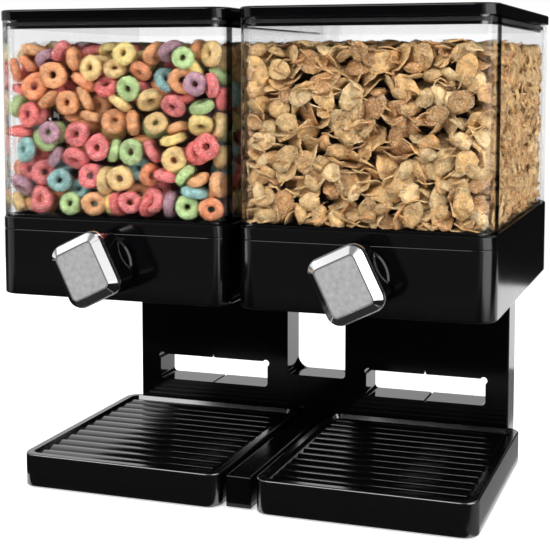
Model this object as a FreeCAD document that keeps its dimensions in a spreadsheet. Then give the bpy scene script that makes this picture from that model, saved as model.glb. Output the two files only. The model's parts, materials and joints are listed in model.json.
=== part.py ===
import FreeCAD, Part

import math
import os

import Sketcher
from FreeCAD import Placement, Rotation, Vector

# Twin gravity dispenser for cereal: two clear canisters with lids stand in black
# housings on one stand. A knob turns a paddle wheel under each canister, and the
# portion drops through the housing's floor over a ribbed tray.
# Frame: +X to the right, +Y to the back, +Z up, origin on the counter below the
# middle of the whole object.

doc = FreeCAD.newDocument("twin_cereal_dispenser")

# Driving dimensions in millimetres, degrees and counts.
SIZES = {
    # one bin, seen from above
    "bin_width": 156.0,
    "bin_depth": 222.0,
    "bin_gap": 6.0,
    "corner_radius": 14.0,
    # stack of heights, from the counter up
    "stand_height": 129.0,
    "housing_height": 42.0,
    "collar_height": 7.5,
    "canister_height": 124.0,
    "lid_height": 6.5,
    # clearances
    "slip_gap": 0.3,
    "running_gap": 0.05,
    "seat_gap": 0.2,
    "seam_gap": 0.5,
    # how far a cut reaches past the solid, or a shape into its neighbour
    "overrun": 1.0,
    # housing
    "housing_wall": 2.4,
    "housing_floor": 3.0,
    "outlet_width": 25.0,
    "outlet_length": 92.0,
    "edge_round": 1.0,
    # collar that carries the canister, with a skirt outside the housing
    "collar_band": 6.0,
    "skirt_thickness": 2.4,
    "skirt_drop": 19.0,
    "skirt_start": 17.0,
    "skirt_slant": 12.0,
    "ledge_width": 4.0,
    "ledge_thickness": 3.0,
    "tongue_height": 1.2,
    # clear canister
    "canister_inset": 0.7,
    "canister_wall": 2.6,
    # funnel
    "funnel_flange": 2.0,
    "funnel_slope_wall": 5.5,
    "mouth_gap": 1.0,
    "mouth_overlap": 2.0,
    # lid
    "lid_top": 2.2,
    "lid_land": 5.0,
    "lid_edge_round": 1.5,
    "plug_depth": 5.5,
    "plug_plate": 2.0,
    "plug_wall": 2.0,
    "seal_groove": 1.4,
    "seal_height": 2.2,
    # paddle wheel and its trough
    "axis_height": 23.0,
    "wheel_radius": 18.5,
    "wheel_length": 128.0,
    "wheel_forward": 14.0,
    "wheel_hub_radius": 7.0,
    "vane_count": 6,
    "vane_root": 2.8,
    "vane_tip": 1.5,
    "vane_gap": 0.6,
    "end_gap": 1.0,
    "trough_wall": 3.0,
    "trough_rise": 8.5,
    "lug_width": 8.0,
    "lug_length": 10.0,
    # drive shaft, bushes and nut
    "journal_radius": 5.0,
    "tail_radius": 3.5,
    "shaft_square": 6.9,
    "tail_length": 8.0,
    "hub_radius": 18.8,
    "hub_depth": 4.5,
    "spigot_radius": 9.0,
    "nut_radius": 14.0,
    "nut_depth": 4.0,
    "bush_radius": 5.2,
    "bush_flange": 1.5,
    "bush_flange_radius": 6.2,
    "clip_groove": 0.8,
    "clip_radius": 5.8,
    "clip_thickness": 1.0,
    # knob
    "knob_angle": 26.0,
    "knob_reach": 33.5,
    "knob_gap": 0.7,
    "plate_width": 35.0,
    "plate_height": 39.0,
    "plate_radius": 7.5,
    "plate_rim": 1.6,
    "bevel_depth": 3.8,
    "bevel_width": 4.3,
    "face_border": 0.9,
    "face_recess": 1.2,
    "face_thickness": 1.0,
    "groove_depth": 1.0,
    "groove_width": 1.0,
    "flange_proud": 0.9,
    "flange_thickness": 1.6,
    "neck_inset": 0.8,
    "neck_taper": 1.0,
    "socket_depth": 17.0,
    # drip tray
    "tray_width": 138.0,
    "tray_depth": 166.0,
    "tray_height": 22.2,
    "tray_pitch": 161.0,
    "tray_radius": 10.0,
    "tray_rim": 5.0,
    "tray_recess": 2.8,
    "tray_wall": 2.4,
    "tray_edge_round": 1.2,
    "stand_clearance": 0.3,
    "rib_count": 12,
    "rib_pitch": 12.4,
    "rib_width": 9.8,
    "rib_height": 1.7,
    "rib_end_gap": 4.0,
    "foot_radius": 6.0,
    "foot_height": 1.2,
    "foot_sink": 0.8,
    "foot_pad": 1.8,
    "foot_side_gap": 0.8,
    # stand
    "stand_front": 175.0,
    "stand_width": 281.0,
    "stand_depth": 26.0,
    "stand_wall": 2.5,
    "stand_round": 1.5,
    "opening_width": 44.0,
    "ledge_height": 47.0,
    "opening_radius": 3.0,
    "cover_thickness": 3.5,
    "cover_radius": 9.0,
    "slot_width": 86.5,
    "slot_height": 19.0,
    "slot_bottom": 36.0,
    "slot_radius": 3.0,
    "slot_sleeve": 2.2,
    "notch_width": 4.0,
    "notch_height": 2.6,
    "ear_radius": 2.6,
    "mark_width": 1.6,
    "mark_depth": 1.0,
    "boss_radius": 4.0,
    "boss_inset": 7.5,
    "boss_low": 12.0,
    "boss_high": 114.0,
    # base bar between the trays
    "bar_width": 16.6,
    "bar_height": 21.0,
    "bar_length": 160.5,
    "bar_round": 1.2,
    "bar_foot_inset": 12.0,
    # screws
    "screw_shank": 1.5,
    "screw_head": 3.0,
    "screw_head_height": 2.0,
    "housing_screw_pitch": 40.0,
    "housing_screw_reach": 10.0,
    "cover_screw_reach": 8.0,
    "bar_screw_reach": 8.0,
    "bar_screw_pitch": 8.0,
    "boss_height": 12.0,
}

sheet = doc.addObject("Spreadsheet::Sheet", "dim")
for row, (name, number) in enumerate(SIZES.items(), start=1):
    sheet.set(f"A{row}", name)
    sheet.set(f"B{row}", str(number))
    sheet.setAlias(f"B{row}", name)
doc.recompute()

# Levels and places that several pieces share, as expressions on the sheet.
HOUSING_BOTTOM = "dim.stand_height"
HOUSING_FLOOR_TOP = "(dim.stand_height + dim.housing_floor)"
SEAM = "(dim.stand_height + dim.housing_height)"
COLLAR_TOP = f"({SEAM} + dim.collar_height)"
CANISTER_TOP = f"({COLLAR_TOP} + dim.canister_height)"
LID_TOP = f"({CANISTER_TOP} + dim.lid_height)"
AXIS = "(dim.stand_height + dim.axis_height)"
BIN_X = "((dim.bin_width + dim.bin_gap) / 2)"
BIN_Y = "(dim.knob_reach / 2)"
BIN_FRONT = f"({BIN_Y} - dim.bin_depth / 2)"
BIN_REAR = f"({BIN_Y} + dim.bin_depth / 2)"
STAND_FRONT = f"({BIN_FRONT} + dim.stand_front)"
STAND_BACK = f"({STAND_FRONT} + dim.stand_depth)"
COVER_FRONT = f"({STAND_BACK} - dim.cover_thickness)"
STAND_MIDDLE = f"(({STAND_FRONT} + {COVER_FRONT}) / 2)"
SIDE_INSET = "(dim.skirt_thickness + dim.slip_gap)"
INNER_INSET = f"({SIDE_INSET} + dim.housing_wall)"
CANISTER_INNER = "(dim.canister_inset + dim.canister_wall)"
WHEEL_Y = f"({BIN_Y} - dim.wheel_forward)"
WHEEL_FRONT = f"({WHEEL_Y} - dim.wheel_length / 2)"
WHEEL_REAR = f"({WHEEL_Y} + dim.wheel_length / 2)"
TROUGH_FRONT = f"({WHEEL_FRONT} - dim.end_gap - dim.trough_wall)"
TROUGH_REAR = f"({WHEEL_REAR} + dim.end_gap + dim.trough_wall)"
TROUGH_HALF = "(dim.wheel_radius + dim.vane_gap + dim.trough_wall)"
TROUGH_TOP = f"({AXIS} + dim.trough_rise)"
MOUTH = f"({TROUGH_TOP} - dim.mouth_overlap)"
FUNNEL_SEAT = f"({SEAM} + dim.ledge_thickness)"
FUNNEL_TOP = f"({FUNNEL_SEAT} + dim.funnel_flange)"
WALL_INSIDE = f"({BIN_FRONT} + {INNER_INSET})"
HUB_FRONT = f"({BIN_FRONT} - dim.hub_depth)"
KNOB_BACK = f"({HUB_FRONT} - dim.knob_gap)"
KNOB_FRONT = f"({BIN_FRONT} - dim.knob_reach)"
SOCKET_FRONT = f"({KNOB_BACK} - dim.socket_depth)"
TAIL_END = f"({TROUGH_REAR} + dim.bush_flange + dim.tail_length - dim.trough_wall)"
GROOVE = f"({TROUGH_REAR} + dim.bush_flange + dim.slip_gap)"
PILOT = "(dim.screw_shank + dim.running_gap)"
SCREW_HOLE = "(dim.screw_shank + dim.slip_gap)"
SIDES = (("left", -1), ("right", 1))


def value(expression):
    """The number that an expression on the sheet gives."""
    return float(sheet.evalExpression(expression))


# ---------------------------------------------------------------- sketch tools


def new_body(label, x="0", y="0", z="0"):
    body = doc.addObject("PartDesign::Body", label)
    body.Label = label
    for axis, place in (("x", x), ("y", y), ("z", z)):
        body.setExpression(f"Placement.Base.{axis}", place)
    return body


def origin_item(body, role):
    return [item for item in body.Origin.OriginFeatures if item.Role == role][0]


def new_sketch(body, name, role, level="0"):
    """A sketch on an origin plane. level is its place along +Z, +Y or +X."""
    sketch = body.newObject("Sketcher::SketchObject", name)
    sketch.AttachmentSupport = (origin_item(body, role), [""])
    sketch.MapMode = "FlatFace"
    # the XZ plane faces the front, so its offset counts against +Y
    sign = "-" if role == "XZ_Plane" else ""
    sketch.setExpression("AttachmentOffset.Base.z", f"{sign}({level})")
    return sketch


def bind(sketch, kind, geometry, expression):
    """A dimension on the sketch that follows the sheet."""
    index = sketch.addConstraint(Sketcher.Constraint(kind, *geometry, value(expression)))
    sketch.setExpression(f"Constraints[{index}]", expression)


def place_point(sketch, geometry, end, x, y):
    bind(sketch, "DistanceX", (-1, 1, geometry, end), x)
    bind(sketch, "DistanceY", (-1, 1, geometry, end), y)


def polygon(sketch, corners):
    """A closed outline of straight lines through corners, pairs of expressions."""
    points = [Vector(value(x), value(y), 0) for x, y in corners]
    first = sketch.GeometryCount
    for start, end in zip(points, points[1:] + points[:1]):
        sketch.addGeometry(Part.LineSegment(start, end))
    for step, (x, y) in enumerate(corners):
        before = first + (step - 1) % len(corners)
        sketch.addConstraint(Sketcher.Constraint("Coincident", before, 2, first + step, 1))
        place_point(sketch, first + step, 1, x, y)


def rectangle(sketch, left, right, low, high):
    polygon(sketch, ((left, low), (right, low), (right, high), (left, high)))


def circle(sketch, x, y, radius):
    index = sketch.addGeometry(Part.Circle(Vector(value(x), value(y), 0), Vector(0, 0, 1), value(radius)))
    place_point(sketch, index, 3, x, y)
    bind(sketch, "Radius", (index,), radius)


def rounded_rectangle(sketch, left, right, low, high, radius):
    """A rectangle with four equal tangent corner arcs."""
    x0, x1, y0, y1, r = (value(item) for item in (left, right, low, high, radius))
    up = Vector(0, 0, 1)
    quarter = math.pi / 2
    inner_x = (x0 + r, x1 - r)
    inner_y = (y0 + r, y1 - r)
    corners = [Vector(inner_x[i], inner_y[j], 0) for i, j in ((1, 0), (1, 1), (0, 1), (0, 0))]
    ends = (
        (Vector(x0 + r, y0, 0), Vector(x1 - r, y0, 0)),
        (Vector(x1, y0 + r, 0), Vector(x1, y1 - r, 0)),
        (Vector(x1 - r, y1, 0), Vector(x0 + r, y1, 0)),
        (Vector(x0, y1 - r, 0), Vector(x0, y0 + r, 0)),
    )
    lines = []
    arcs = []
    for turn, (centre, (start, end)) in enumerate(zip(corners, ends)):
        lines.append(sketch.addGeometry(Part.LineSegment(start, end)))
        angle = (turn - 1) * quarter
        arcs.append(sketch.addGeometry(Part.ArcOfCircle(Part.Circle(centre, up, r), angle, angle + quarter)))
    for turn in range(4):
        following = lines[(turn + 1) % 4]
        sketch.addConstraint(Sketcher.Constraint("Tangent", lines[turn], 2, arcs[turn], 1))
        sketch.addConstraint(Sketcher.Constraint("Tangent", arcs[turn], 2, following, 1))
        direction = "Vertical" if turn % 2 else "Horizontal"
        sketch.addConstraint(Sketcher.Constraint(direction, lines[turn]))
    for arc in arcs[1:]:
        sketch.addConstraint(Sketcher.Constraint("Equal", arcs[0], arc))
    bind(sketch, "Radius", (arcs[0],), radius)
    bind(sketch, "DistanceY", (-1, 1, lines[0], 1), low)
    bind(sketch, "DistanceX", (-1, 1, lines[1], 1), right)
    bind(sketch, "DistanceY", (-1, 1, lines[2], 1), high)
    bind(sketch, "DistanceX", (-1, 1, lines[3], 1), left)


def bin_outline(sketch, inset):
    """The bin's rounded outline from above, inset by a wall."""
    half_width = f"(dim.bin_width / 2 - {inset})"
    half_depth = f"(dim.bin_depth / 2 - {inset})"
    rounded_rectangle(
        sketch,
        f"-{half_width}",
        half_width,
        f"{BIN_Y} - {half_depth}",
        f"{BIN_Y} + {half_depth}",
        f"dim.corner_radius - {inset}",
    )


# --------------------------------------------------------------- feature tools


def pad(body, sketch, length, reverse=False, symmetric=False):
    feature = body.newObject("PartDesign::Pad", f"{sketch.Name}_pad")
    feature.Profile = sketch
    feature.Reversed = reverse
    if symmetric:
        feature.SideType = "Symmetric"
    feature.setExpression("Length", length)
    body.Tip = feature
    return feature


def pocket(body, sketch, length=None, reverse=False, symmetric=False):
    """A cut of the given length, or through everything on both sides."""
    feature = body.newObject("PartDesign::Pocket", f"{sketch.Name}_pocket")
    feature.Profile = sketch
    feature.Reversed = reverse
    if symmetric or length is None:
        feature.SideType = "Symmetric"
    if length is None:
        feature.Type = "ThroughAll"
    else:
        feature.setExpression("Length", length)
    body.Tip = feature
    return feature


def revolve(body, sketch, role="Y_Axis"):
    feature = body.newObject("PartDesign::Revolution", f"{sketch.Name}_turn")
    feature.Profile = sketch
    feature.ReferenceAxis = (origin_item(body, role), [""])
    feature.Angle = 360
    body.Tip = feature
    return feature


def loft(body, kind, sections):
    feature = body.newObject(f"PartDesign::{kind}", f"{sections[0].Name}_loft")
    feature.Profile = sections[0]
    feature.Sections = sections[1:]
    feature.Ruled = True
    body.Tip = feature
    return feature


def dress(body, kind, size_name, size, chosen):
    """A fillet or chamfer on the edges of the tip that the test chooses."""
    doc.recompute()
    base = body.Tip
    edges = [f"Edge{i}" for i, edge in enumerate(base.Shape.Edges, start=1) if chosen(edge)]
    if not edges:
        raise RuntimeError(f"{body.Label}: no edge to dress")
    feature = body.newObject(f"PartDesign::{kind}", f"{body.Name}_{kind}")
    feature.Base = (base, edges)
    feature.setExpression(size_name, size)
    body.Tip = feature
    return feature


def fillet(body, size, chosen):
    return dress(body, "Fillet", "Radius", size, chosen)


def chamfer(body, size, chosen):
    return dress(body, "Chamfer", "Size", size, chosen)


def near(first, second):
    return abs(first - second) < 1e-4


def level_edge(edge, axis, place):
    """True for an edge that lies wholly at one place along an axis."""
    box = edge.BoundBox
    low, high = {"x": (box.XMin, box.XMax), "y": (box.YMin, box.YMax), "z": (box.ZMin, box.ZMax)}[axis]
    return near(low, place) and near(high, place)


# ------------------------------------------------------------------ the pieces


def make_canister(side, sign):
    body = new_body(f"canister_{side}", x=f"{sign} * {BIN_X}")
    wall = new_sketch(body, f"canister_wall_{side}", "XY_Plane", COLLAR_TOP)
    bin_outline(wall, "dim.canister_inset")
    bin_outline(wall, CANISTER_INNER)
    pad(body, wall, "dim.canister_height")
    return body


def make_collar(side, sign):
    body = new_body(f"collar_{side}", x=f"{sign} * {BIN_X}")
    skirt = new_sketch(body, f"collar_skirt_{side}", "XY_Plane", f"{SEAM} - dim.skirt_drop")
    bin_outline(skirt, "0")
    bin_outline(skirt, "dim.skirt_thickness")
    pad(body, skirt, "dim.skirt_drop + dim.collar_height")
    # the skirt starts behind the front corners and slants down to its full drop
    front = new_sketch(body, f"collar_front_{side}", "YZ_Plane")
    polygon(
        front,
        (
            (f"{BIN_FRONT} - dim.overrun", f"{SEAM} - dim.skirt_drop - dim.overrun"),
            (f"{BIN_FRONT} + dim.skirt_start + dim.skirt_slant", f"{SEAM} - dim.skirt_drop - dim.overrun"),
            (f"{BIN_FRONT} + dim.skirt_start + dim.skirt_slant", f"{SEAM} - dim.skirt_drop"),
            (f"{BIN_FRONT} + dim.skirt_start", f"{SEAM} + dim.seam_gap"),
            (f"{BIN_FRONT} - dim.overrun", f"{SEAM} + dim.seam_gap"),
        ),
    )
    pocket(body, front)
    band = new_sketch(body, f"collar_band_{side}", "XY_Plane", SEAM)
    bin_outline(band, "0")
    bin_outline(band, "dim.collar_band")
    pad(body, band, "dim.collar_height")
    tongue = new_sketch(body, f"collar_tongue_{side}", "XY_Plane", COLLAR_TOP)
    bin_outline(tongue, f"({CANISTER_INNER} + dim.slip_gap)")
    bin_outline(tongue, "dim.collar_band")
    pad(body, tongue, "dim.tongue_height")
    ledge = new_sketch(body, f"collar_ledge_{side}", "XY_Plane", SEAM)
    bin_outline(ledge, "dim.collar_band")
    bin_outline(ledge, "(dim.collar_band + dim.ledge_width)")
    pad(body, ledge, "dim.ledge_thickness")
    rim = value(COLLAR_TOP)
    outside = value("dim.bin_width / 2")

    def rim_edge(edge):
        box = edge.BoundBox
        return level_edge(edge, "z", rim) and near(box.XMax, outside) and near(box.XMin, outside)

    chamfer(body, "dim.canister_inset", rim_edge)
    return body


def make_funnel(side, sign):
    body = new_body(f"funnel_{side}", x=f"{sign} * {BIN_X}")
    flange = new_sketch(body, f"funnel_flange_{side}", "XY_Plane", FUNNEL_SEAT)
    bin_outline(flange, "(dim.collar_band + dim.seat_gap)")
    pad(body, flange, "dim.funnel_flange")
    slope_top = new_sketch(body, f"funnel_slope_{side}", "XY_Plane", FUNNEL_SEAT)
    bin_outline(slope_top, "(dim.collar_band + dim.ledge_width + dim.slip_gap)")
    mouth = new_sketch(body, f"funnel_mouth_{side}", "XY_Plane", MOUTH)
    mouth_outline(mouth, "(dim.mouth_gap + dim.funnel_slope_wall)")
    loft(body, "AdditiveLoft", [slope_top, mouth])
    inner_top = new_sketch(body, f"funnel_inside_{side}", "XY_Plane", FUNNEL_TOP)
    bin_outline(inner_top, "(dim.collar_band + dim.ledge_width + dim.slip_gap)")
    inner_mouth = new_sketch(body, f"funnel_inner_mouth_{side}", "XY_Plane", MOUTH)
    mouth_outline(inner_mouth, "dim.mouth_gap")
    loft(body, "SubtractiveLoft", [inner_top, inner_mouth])
    return body


def mouth_outline(sketch, margin):
    """The funnel's mouth, which hangs round the trough with a margin."""
    half = f"({TROUGH_HALF} + {margin})"
    rounded_rectangle(
        sketch,
        f"-{half}",
        half,
        f"{TROUGH_FRONT} - {margin}",
        f"{TROUGH_REAR} + {margin}",
        margin,
    )


def make_lid(side, sign):
    body = new_body(f"lid_{side}", x=f"{sign} * {BIN_X}")
    cap = new_sketch(body, f"lid_cap_{side}", "XY_Plane", CANISTER_TOP)
    bin_outline(cap, "0")
    pad(body, cap, "dim.lid_height")
    recess = new_sketch(body, f"lid_recess_{side}", "XY_Plane", CANISTER_TOP)
    bin_outline(recess, "dim.lid_land")
    pocket(body, recess, "dim.lid_height - dim.lid_top", reverse=True)
    top = value(LID_TOP)
    fillet(body, "dim.lid_edge_round", lambda edge: level_edge(edge, "z", top))
    return body


def make_lid_plug(side, sign):
    """The tray-shaped plug under the lid, with a groove for its seal."""
    body = new_body(f"lid_plug_{side}", x=f"{sign} * {BIN_X}")
    bottom = f"({CANISTER_TOP} - dim.plug_depth)"
    groove = f"({bottom} + dim.plug_plate)"
    above = f"({groove} + dim.seal_height)"
    plug = "(dim.lid_land + dim.slip_gap)"
    narrow = f"({plug} + dim.seal_groove)"
    plate = new_sketch(body, f"plug_plate_{side}", "XY_Plane", bottom)
    bin_outline(plate, plug)
    pad(body, plate, "dim.plug_plate")
    waist = new_sketch(body, f"plug_waist_{side}", "XY_Plane", groove)
    bin_outline(waist, narrow)
    bin_outline(waist, f"({narrow} + dim.plug_wall)")
    pad(body, waist, "dim.seal_height")
    head = new_sketch(body, f"plug_head_{side}", "XY_Plane", above)
    bin_outline(head, plug)
    bin_outline(head, f"({narrow} + dim.plug_wall)")
    pad(body, head, f"{LID_TOP} - dim.lid_top - {above}")
    return body


def make_lid_seal(side, sign):
    """The soft ring in the plug's groove, just clear of the canister's wall."""
    body = new_body(f"lid_seal_{side}", x=f"{sign} * {BIN_X}")
    groove = f"{CANISTER_TOP} - dim.plug_depth + dim.plug_plate"
    ring = new_sketch(body, f"seal_ring_{side}", "XY_Plane", groove)
    bin_outline(ring, f"({CANISTER_INNER} + dim.slip_gap)")
    bin_outline(ring, "(dim.lid_land + dim.slip_gap + dim.seal_groove)")
    pad(body, ring, "dim.seal_height")
    return body


def make_housing(side, sign):
    body = new_body(f"housing_{side}", x=f"{sign} * {BIN_X}")
    skin = new_sketch(body, f"housing_skin_{side}", "XY_Plane", HOUSING_BOTTOM)
    bin_outline(skin, "0")
    bin_outline(skin, SIDE_INSET)
    pad(body, skin, "dim.housing_height")
    # the skin steps back where the collar's skirt hangs outside
    rebate = new_sketch(body, f"housing_rebate_{side}", "YZ_Plane")
    floor = f"{SEAM} - dim.skirt_drop - dim.seam_gap"
    polygon(
        rebate,
        (
            (f"{BIN_FRONT} + dim.skirt_start + dim.skirt_slant - dim.seam_gap", floor),
            (f"{BIN_REAR} + dim.overrun", floor),
            (f"{BIN_REAR} + dim.overrun", f"{SEAM} + dim.overrun"),
            (f"{BIN_FRONT} + dim.skirt_start - dim.seam_gap", f"{SEAM} + dim.overrun"),
            (f"{BIN_FRONT} + dim.skirt_start - dim.seam_gap", SEAM),
        ),
    )
    pocket(body, rebate)
    wall = new_sketch(body, f"housing_wall_{side}", "XY_Plane", HOUSING_BOTTOM)
    bin_outline(wall, SIDE_INSET)
    bin_outline(wall, INNER_INSET)
    pad(body, wall, "dim.housing_height")
    floor_plate = new_sketch(body, f"housing_floor_{side}", "XY_Plane", HOUSING_BOTTOM)
    bin_outline(floor_plate, INNER_INSET)
    pad(body, floor_plate, "dim.housing_floor")
    bosses = new_sketch(body, f"housing_boss_{side}", "XY_Plane", HOUSING_BOTTOM)
    for step in (-1, 1):
        circle(bosses, f"{step} * dim.housing_screw_pitch", STAND_MIDDLE, "dim.boss_radius")
    pad(body, bosses, "dim.boss_height")
    pilots = new_sketch(body, f"housing_pilot_{side}", "XY_Plane", HOUSING_BOTTOM)
    for step in (-1, 1):
        circle(pilots, f"{step} * dim.housing_screw_pitch", STAND_MIDDLE, PILOT)
    pocket(body, pilots, "dim.housing_screw_reach", reverse=True)
    lugs = new_sketch(body, f"housing_lug_pilot_{side}", "XY_Plane", HOUSING_FLOOR_TOP)
    for x, y in lug_centres():
        circle(lugs, x, y, PILOT)
    pocket(body, lugs, "dim.housing_floor - dim.edge_round")
    outlet = new_sketch(body, f"housing_outlet_{side}", "XY_Plane", HOUSING_BOTTOM)
    outlet_outline(outlet)
    pocket(body, outlet, "dim.housing_floor", reverse=True)
    hub_hole = new_sketch(body, f"housing_hub_hole_{side}", "XZ_Plane", BIN_FRONT)
    circle(hub_hole, "0", AXIS, "dim.spigot_radius + dim.running_gap")
    pocket(body, hub_hole, INNER_INSET)
    low = value(HOUSING_BOTTOM)
    seam = value(SEAM)
    front = value(BIN_FRONT)
    outside = value("dim.bin_width / 2")

    def outer_edge(edge):
        box = edge.BoundBox
        if level_edge(edge, "z", low):
            return near(box.XMax, outside) and near(box.XMin, outside)
        return level_edge(edge, "z", seam) and near(box.YMin, front) and near(box.YMax, front)

    fillet(body, "dim.edge_round", outer_edge)
    return body


def outlet_outline(sketch):
    rectangle(
        sketch,
        "-dim.outlet_width / 2",
        "dim.outlet_width / 2",
        f"{WHEEL_Y} - dim.outlet_length / 2",
        f"{WHEEL_Y} + dim.outlet_length / 2",
    )


def lug_centres():
    """The trough's two screws, as pairs of expressions."""
    return [(f"{sign} * ({TROUGH_HALF} + dim.lug_width / 2)", WHEEL_Y) for sign in (-1, 1)]


def make_trough(side, sign):
    """The half-round channel that the paddle wheel turns in."""
    body = new_body(f"wheel_trough_{side}", x=f"{sign} * {BIN_X}")
    block = new_sketch(body, f"trough_block_{side}", "XZ_Plane", TROUGH_REAR)
    rectangle(block, f"-{TROUGH_HALF}", TROUGH_HALF, HOUSING_FLOOR_TOP, TROUGH_TOP)
    pad(body, block, f"{TROUGH_REAR} - {TROUGH_FRONT}")
    lugs = new_sketch(body, f"trough_lug_{side}", "XY_Plane", HOUSING_FLOOR_TOP)
    across = f"({TROUGH_HALF} + dim.lug_width)"
    along = "dim.lug_length / 2"
    rectangle(lugs, f"-{across}", across, f"{WHEEL_Y} - {along}", f"{WHEEL_Y} + {along}")
    pad(body, lugs, "dim.trough_wall")
    channel = new_sketch(body, f"trough_channel_{side}", "XZ_Plane", f"{TROUGH_FRONT} + dim.trough_wall")
    circle(channel, "0", AXIS, "dim.wheel_radius + dim.vane_gap")
    pocket(body, channel, "dim.wheel_length + 2 * dim.end_gap")
    outlet = new_sketch(body, f"trough_outlet_{side}", "XY_Plane", AXIS)
    outlet_outline(outlet)
    pocket(body, outlet, "dim.axis_height")
    screw_holes = new_sketch(body, f"trough_screw_hole_{side}", "XY_Plane", HOUSING_FLOOR_TOP)
    for x, y in lug_centres():
        circle(screw_holes, x, y, SCREW_HOLE)
    pocket(body, screw_holes, "dim.trough_wall", reverse=True)
    front_bore = new_sketch(body, f"trough_front_bore_{side}", "XZ_Plane", TROUGH_FRONT)
    circle(front_bore, "0", AXIS, "dim.journal_radius + dim.slip_gap")
    pocket(body, front_bore, "dim.trough_wall")
    rear_bore = new_sketch(body, f"trough_rear_bore_{side}", "XZ_Plane", TROUGH_REAR)
    circle(rear_bore, "0", AXIS, "dim.bush_radius + dim.running_gap")
    pocket(body, rear_bore, "dim.trough_wall", reverse=True)
    return body


def make_hub(side, sign):
    """The flanged front bush, whose round boss shows behind the knob."""
    body = new_body(f"hub_bush_{side}", x=f"{sign} * {BIN_X}", z=AXIS)
    bore = "dim.journal_radius + dim.running_gap"
    end = f"{WALL_INSIDE} + dim.nut_depth + dim.edge_round"
    section = new_sketch(body, f"hub_section_{side}", "YZ_Plane")
    polygon(
        section,
        (
            (HUB_FRONT, bore),
            (end, bore),
            (end, "dim.spigot_radius"),
            (BIN_FRONT, "dim.spigot_radius"),
            (BIN_FRONT, "dim.hub_radius"),
            (f"{HUB_FRONT} + dim.edge_round", "dim.hub_radius"),
            (HUB_FRONT, "dim.hub_radius - dim.edge_round"),
        ),
    )
    revolve(body, section)
    return body


def make_hub_nut(side, sign):
    body = new_body(f"hub_nut_{side}", x=f"{sign} * {BIN_X}", z=AXIS)
    outline = new_sketch(body, f"nut_outline_{side}", "XZ_Plane", WALL_INSIDE)
    turns = [math.radians(60 * step) for step in range(6)]
    corners = [(f"dim.nut_radius * {math.cos(a):.6f}", f"dim.nut_radius * {math.sin(a):.6f}") for a in turns]
    polygon(outline, corners)
    circle(outline, "0", "0", "dim.spigot_radius + dim.running_gap")
    pad(body, outline, "dim.nut_depth", reverse=True)
    return body


def make_rear_bush(side, sign):
    body = new_body(f"rear_bush_{side}", x=f"{sign} * {BIN_X}", z=AXIS)
    bore = "dim.tail_radius + dim.running_gap"
    inside = f"{TROUGH_REAR} - dim.trough_wall"
    outside = f"{TROUGH_REAR} + dim.bush_flange"
    section = new_sketch(body, f"rear_bush_section_{side}", "YZ_Plane")
    polygon(
        section,
        (
            (inside, bore),
            (outside, bore),
            (outside, "dim.bush_flange_radius"),
            (TROUGH_REAR, "dim.bush_flange_radius"),
            (TROUGH_REAR, "dim.bush_radius"),
            (inside, "dim.bush_radius"),
        ),
    )
    revolve(body, section)
    return body


def turning_body(label, sign):
    """A body on the wheel's axis, at the knob's rest angle."""
    body = new_body(label, x=f"{sign} * {BIN_X}", z=AXIS)
    body.Placement = Placement(body.Placement.Base, Rotation(Vector(0, -1, 0), value("dim.knob_angle")))
    body.setExpression("Placement.Rotation.Angle", "dim.knob_angle")
    return body


def make_wheel(side, sign):
    """A hub with soft tapered vanes, each with a round tip."""
    body = turning_body(f"paddle_wheel_{side}", sign)
    hub = new_sketch(body, f"wheel_hub_{side}", "XZ_Plane", WHEEL_Y)
    circle(hub, "0", "0", "dim.wheel_hub_radius")
    half_bore = "(dim.shaft_square / 2 + dim.running_gap)"
    rectangle(hub, f"-{half_bore}", half_bore, f"-{half_bore}", half_bore)
    pad(body, hub, "dim.wheel_length", symmetric=True)
    vane = new_sketch(body, f"wheel_vane_{side}", "XZ_Plane", WHEEL_Y)
    root = "dim.vane_root / 2"
    tip = "dim.vane_tip / 2"
    root_level = "dim.wheel_hub_radius - dim.overrun"
    tip_level = f"dim.wheel_radius - {tip}"
    # left flank, root, right flank, then the round tip
    points = [("-" + tip, tip_level), ("-" + root, root_level), (root, root_level), (tip, tip_level)]
    at = [Vector(value(x), value(y), 0) for x, y in points]
    for start, end in zip(at, at[1:]):
        vane.addGeometry(Part.LineSegment(start, end))
    centre = Vector(0, value(tip_level), 0)
    vane.addGeometry(Part.ArcOfCircle(Part.Circle(centre, Vector(0, 0, 1), value(tip)), 0, math.pi))
    vane.addConstraint(Sketcher.Constraint("Coincident", 0, 2, 1, 1))
    vane.addConstraint(Sketcher.Constraint("Coincident", 1, 2, 2, 1))
    vane.addConstraint(Sketcher.Constraint("Coincident", 2, 2, 3, 1))
    vane.addConstraint(Sketcher.Constraint("Coincident", 3, 2, 0, 1))
    for step in range(3):
        place_point(vane, step, 1, *points[step])
    place_point(vane, 2, 2, *points[3])
    bind(vane, "DistanceY", (-1, 1, 3, 3), tip_level)
    blade = pad(body, vane, "dim.wheel_length", symmetric=True)
    ring = body.newObject("PartDesign::PolarPattern", f"wheel_vanes_{side}")
    ring.Originals = [blade]
    ring.Axis = (origin_item(body, "Y_Axis"), [""])
    ring.Angle = 360
    ring.setExpression("Occurrences", "dim.vane_count")
    body.Tip = ring
    return body


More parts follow.
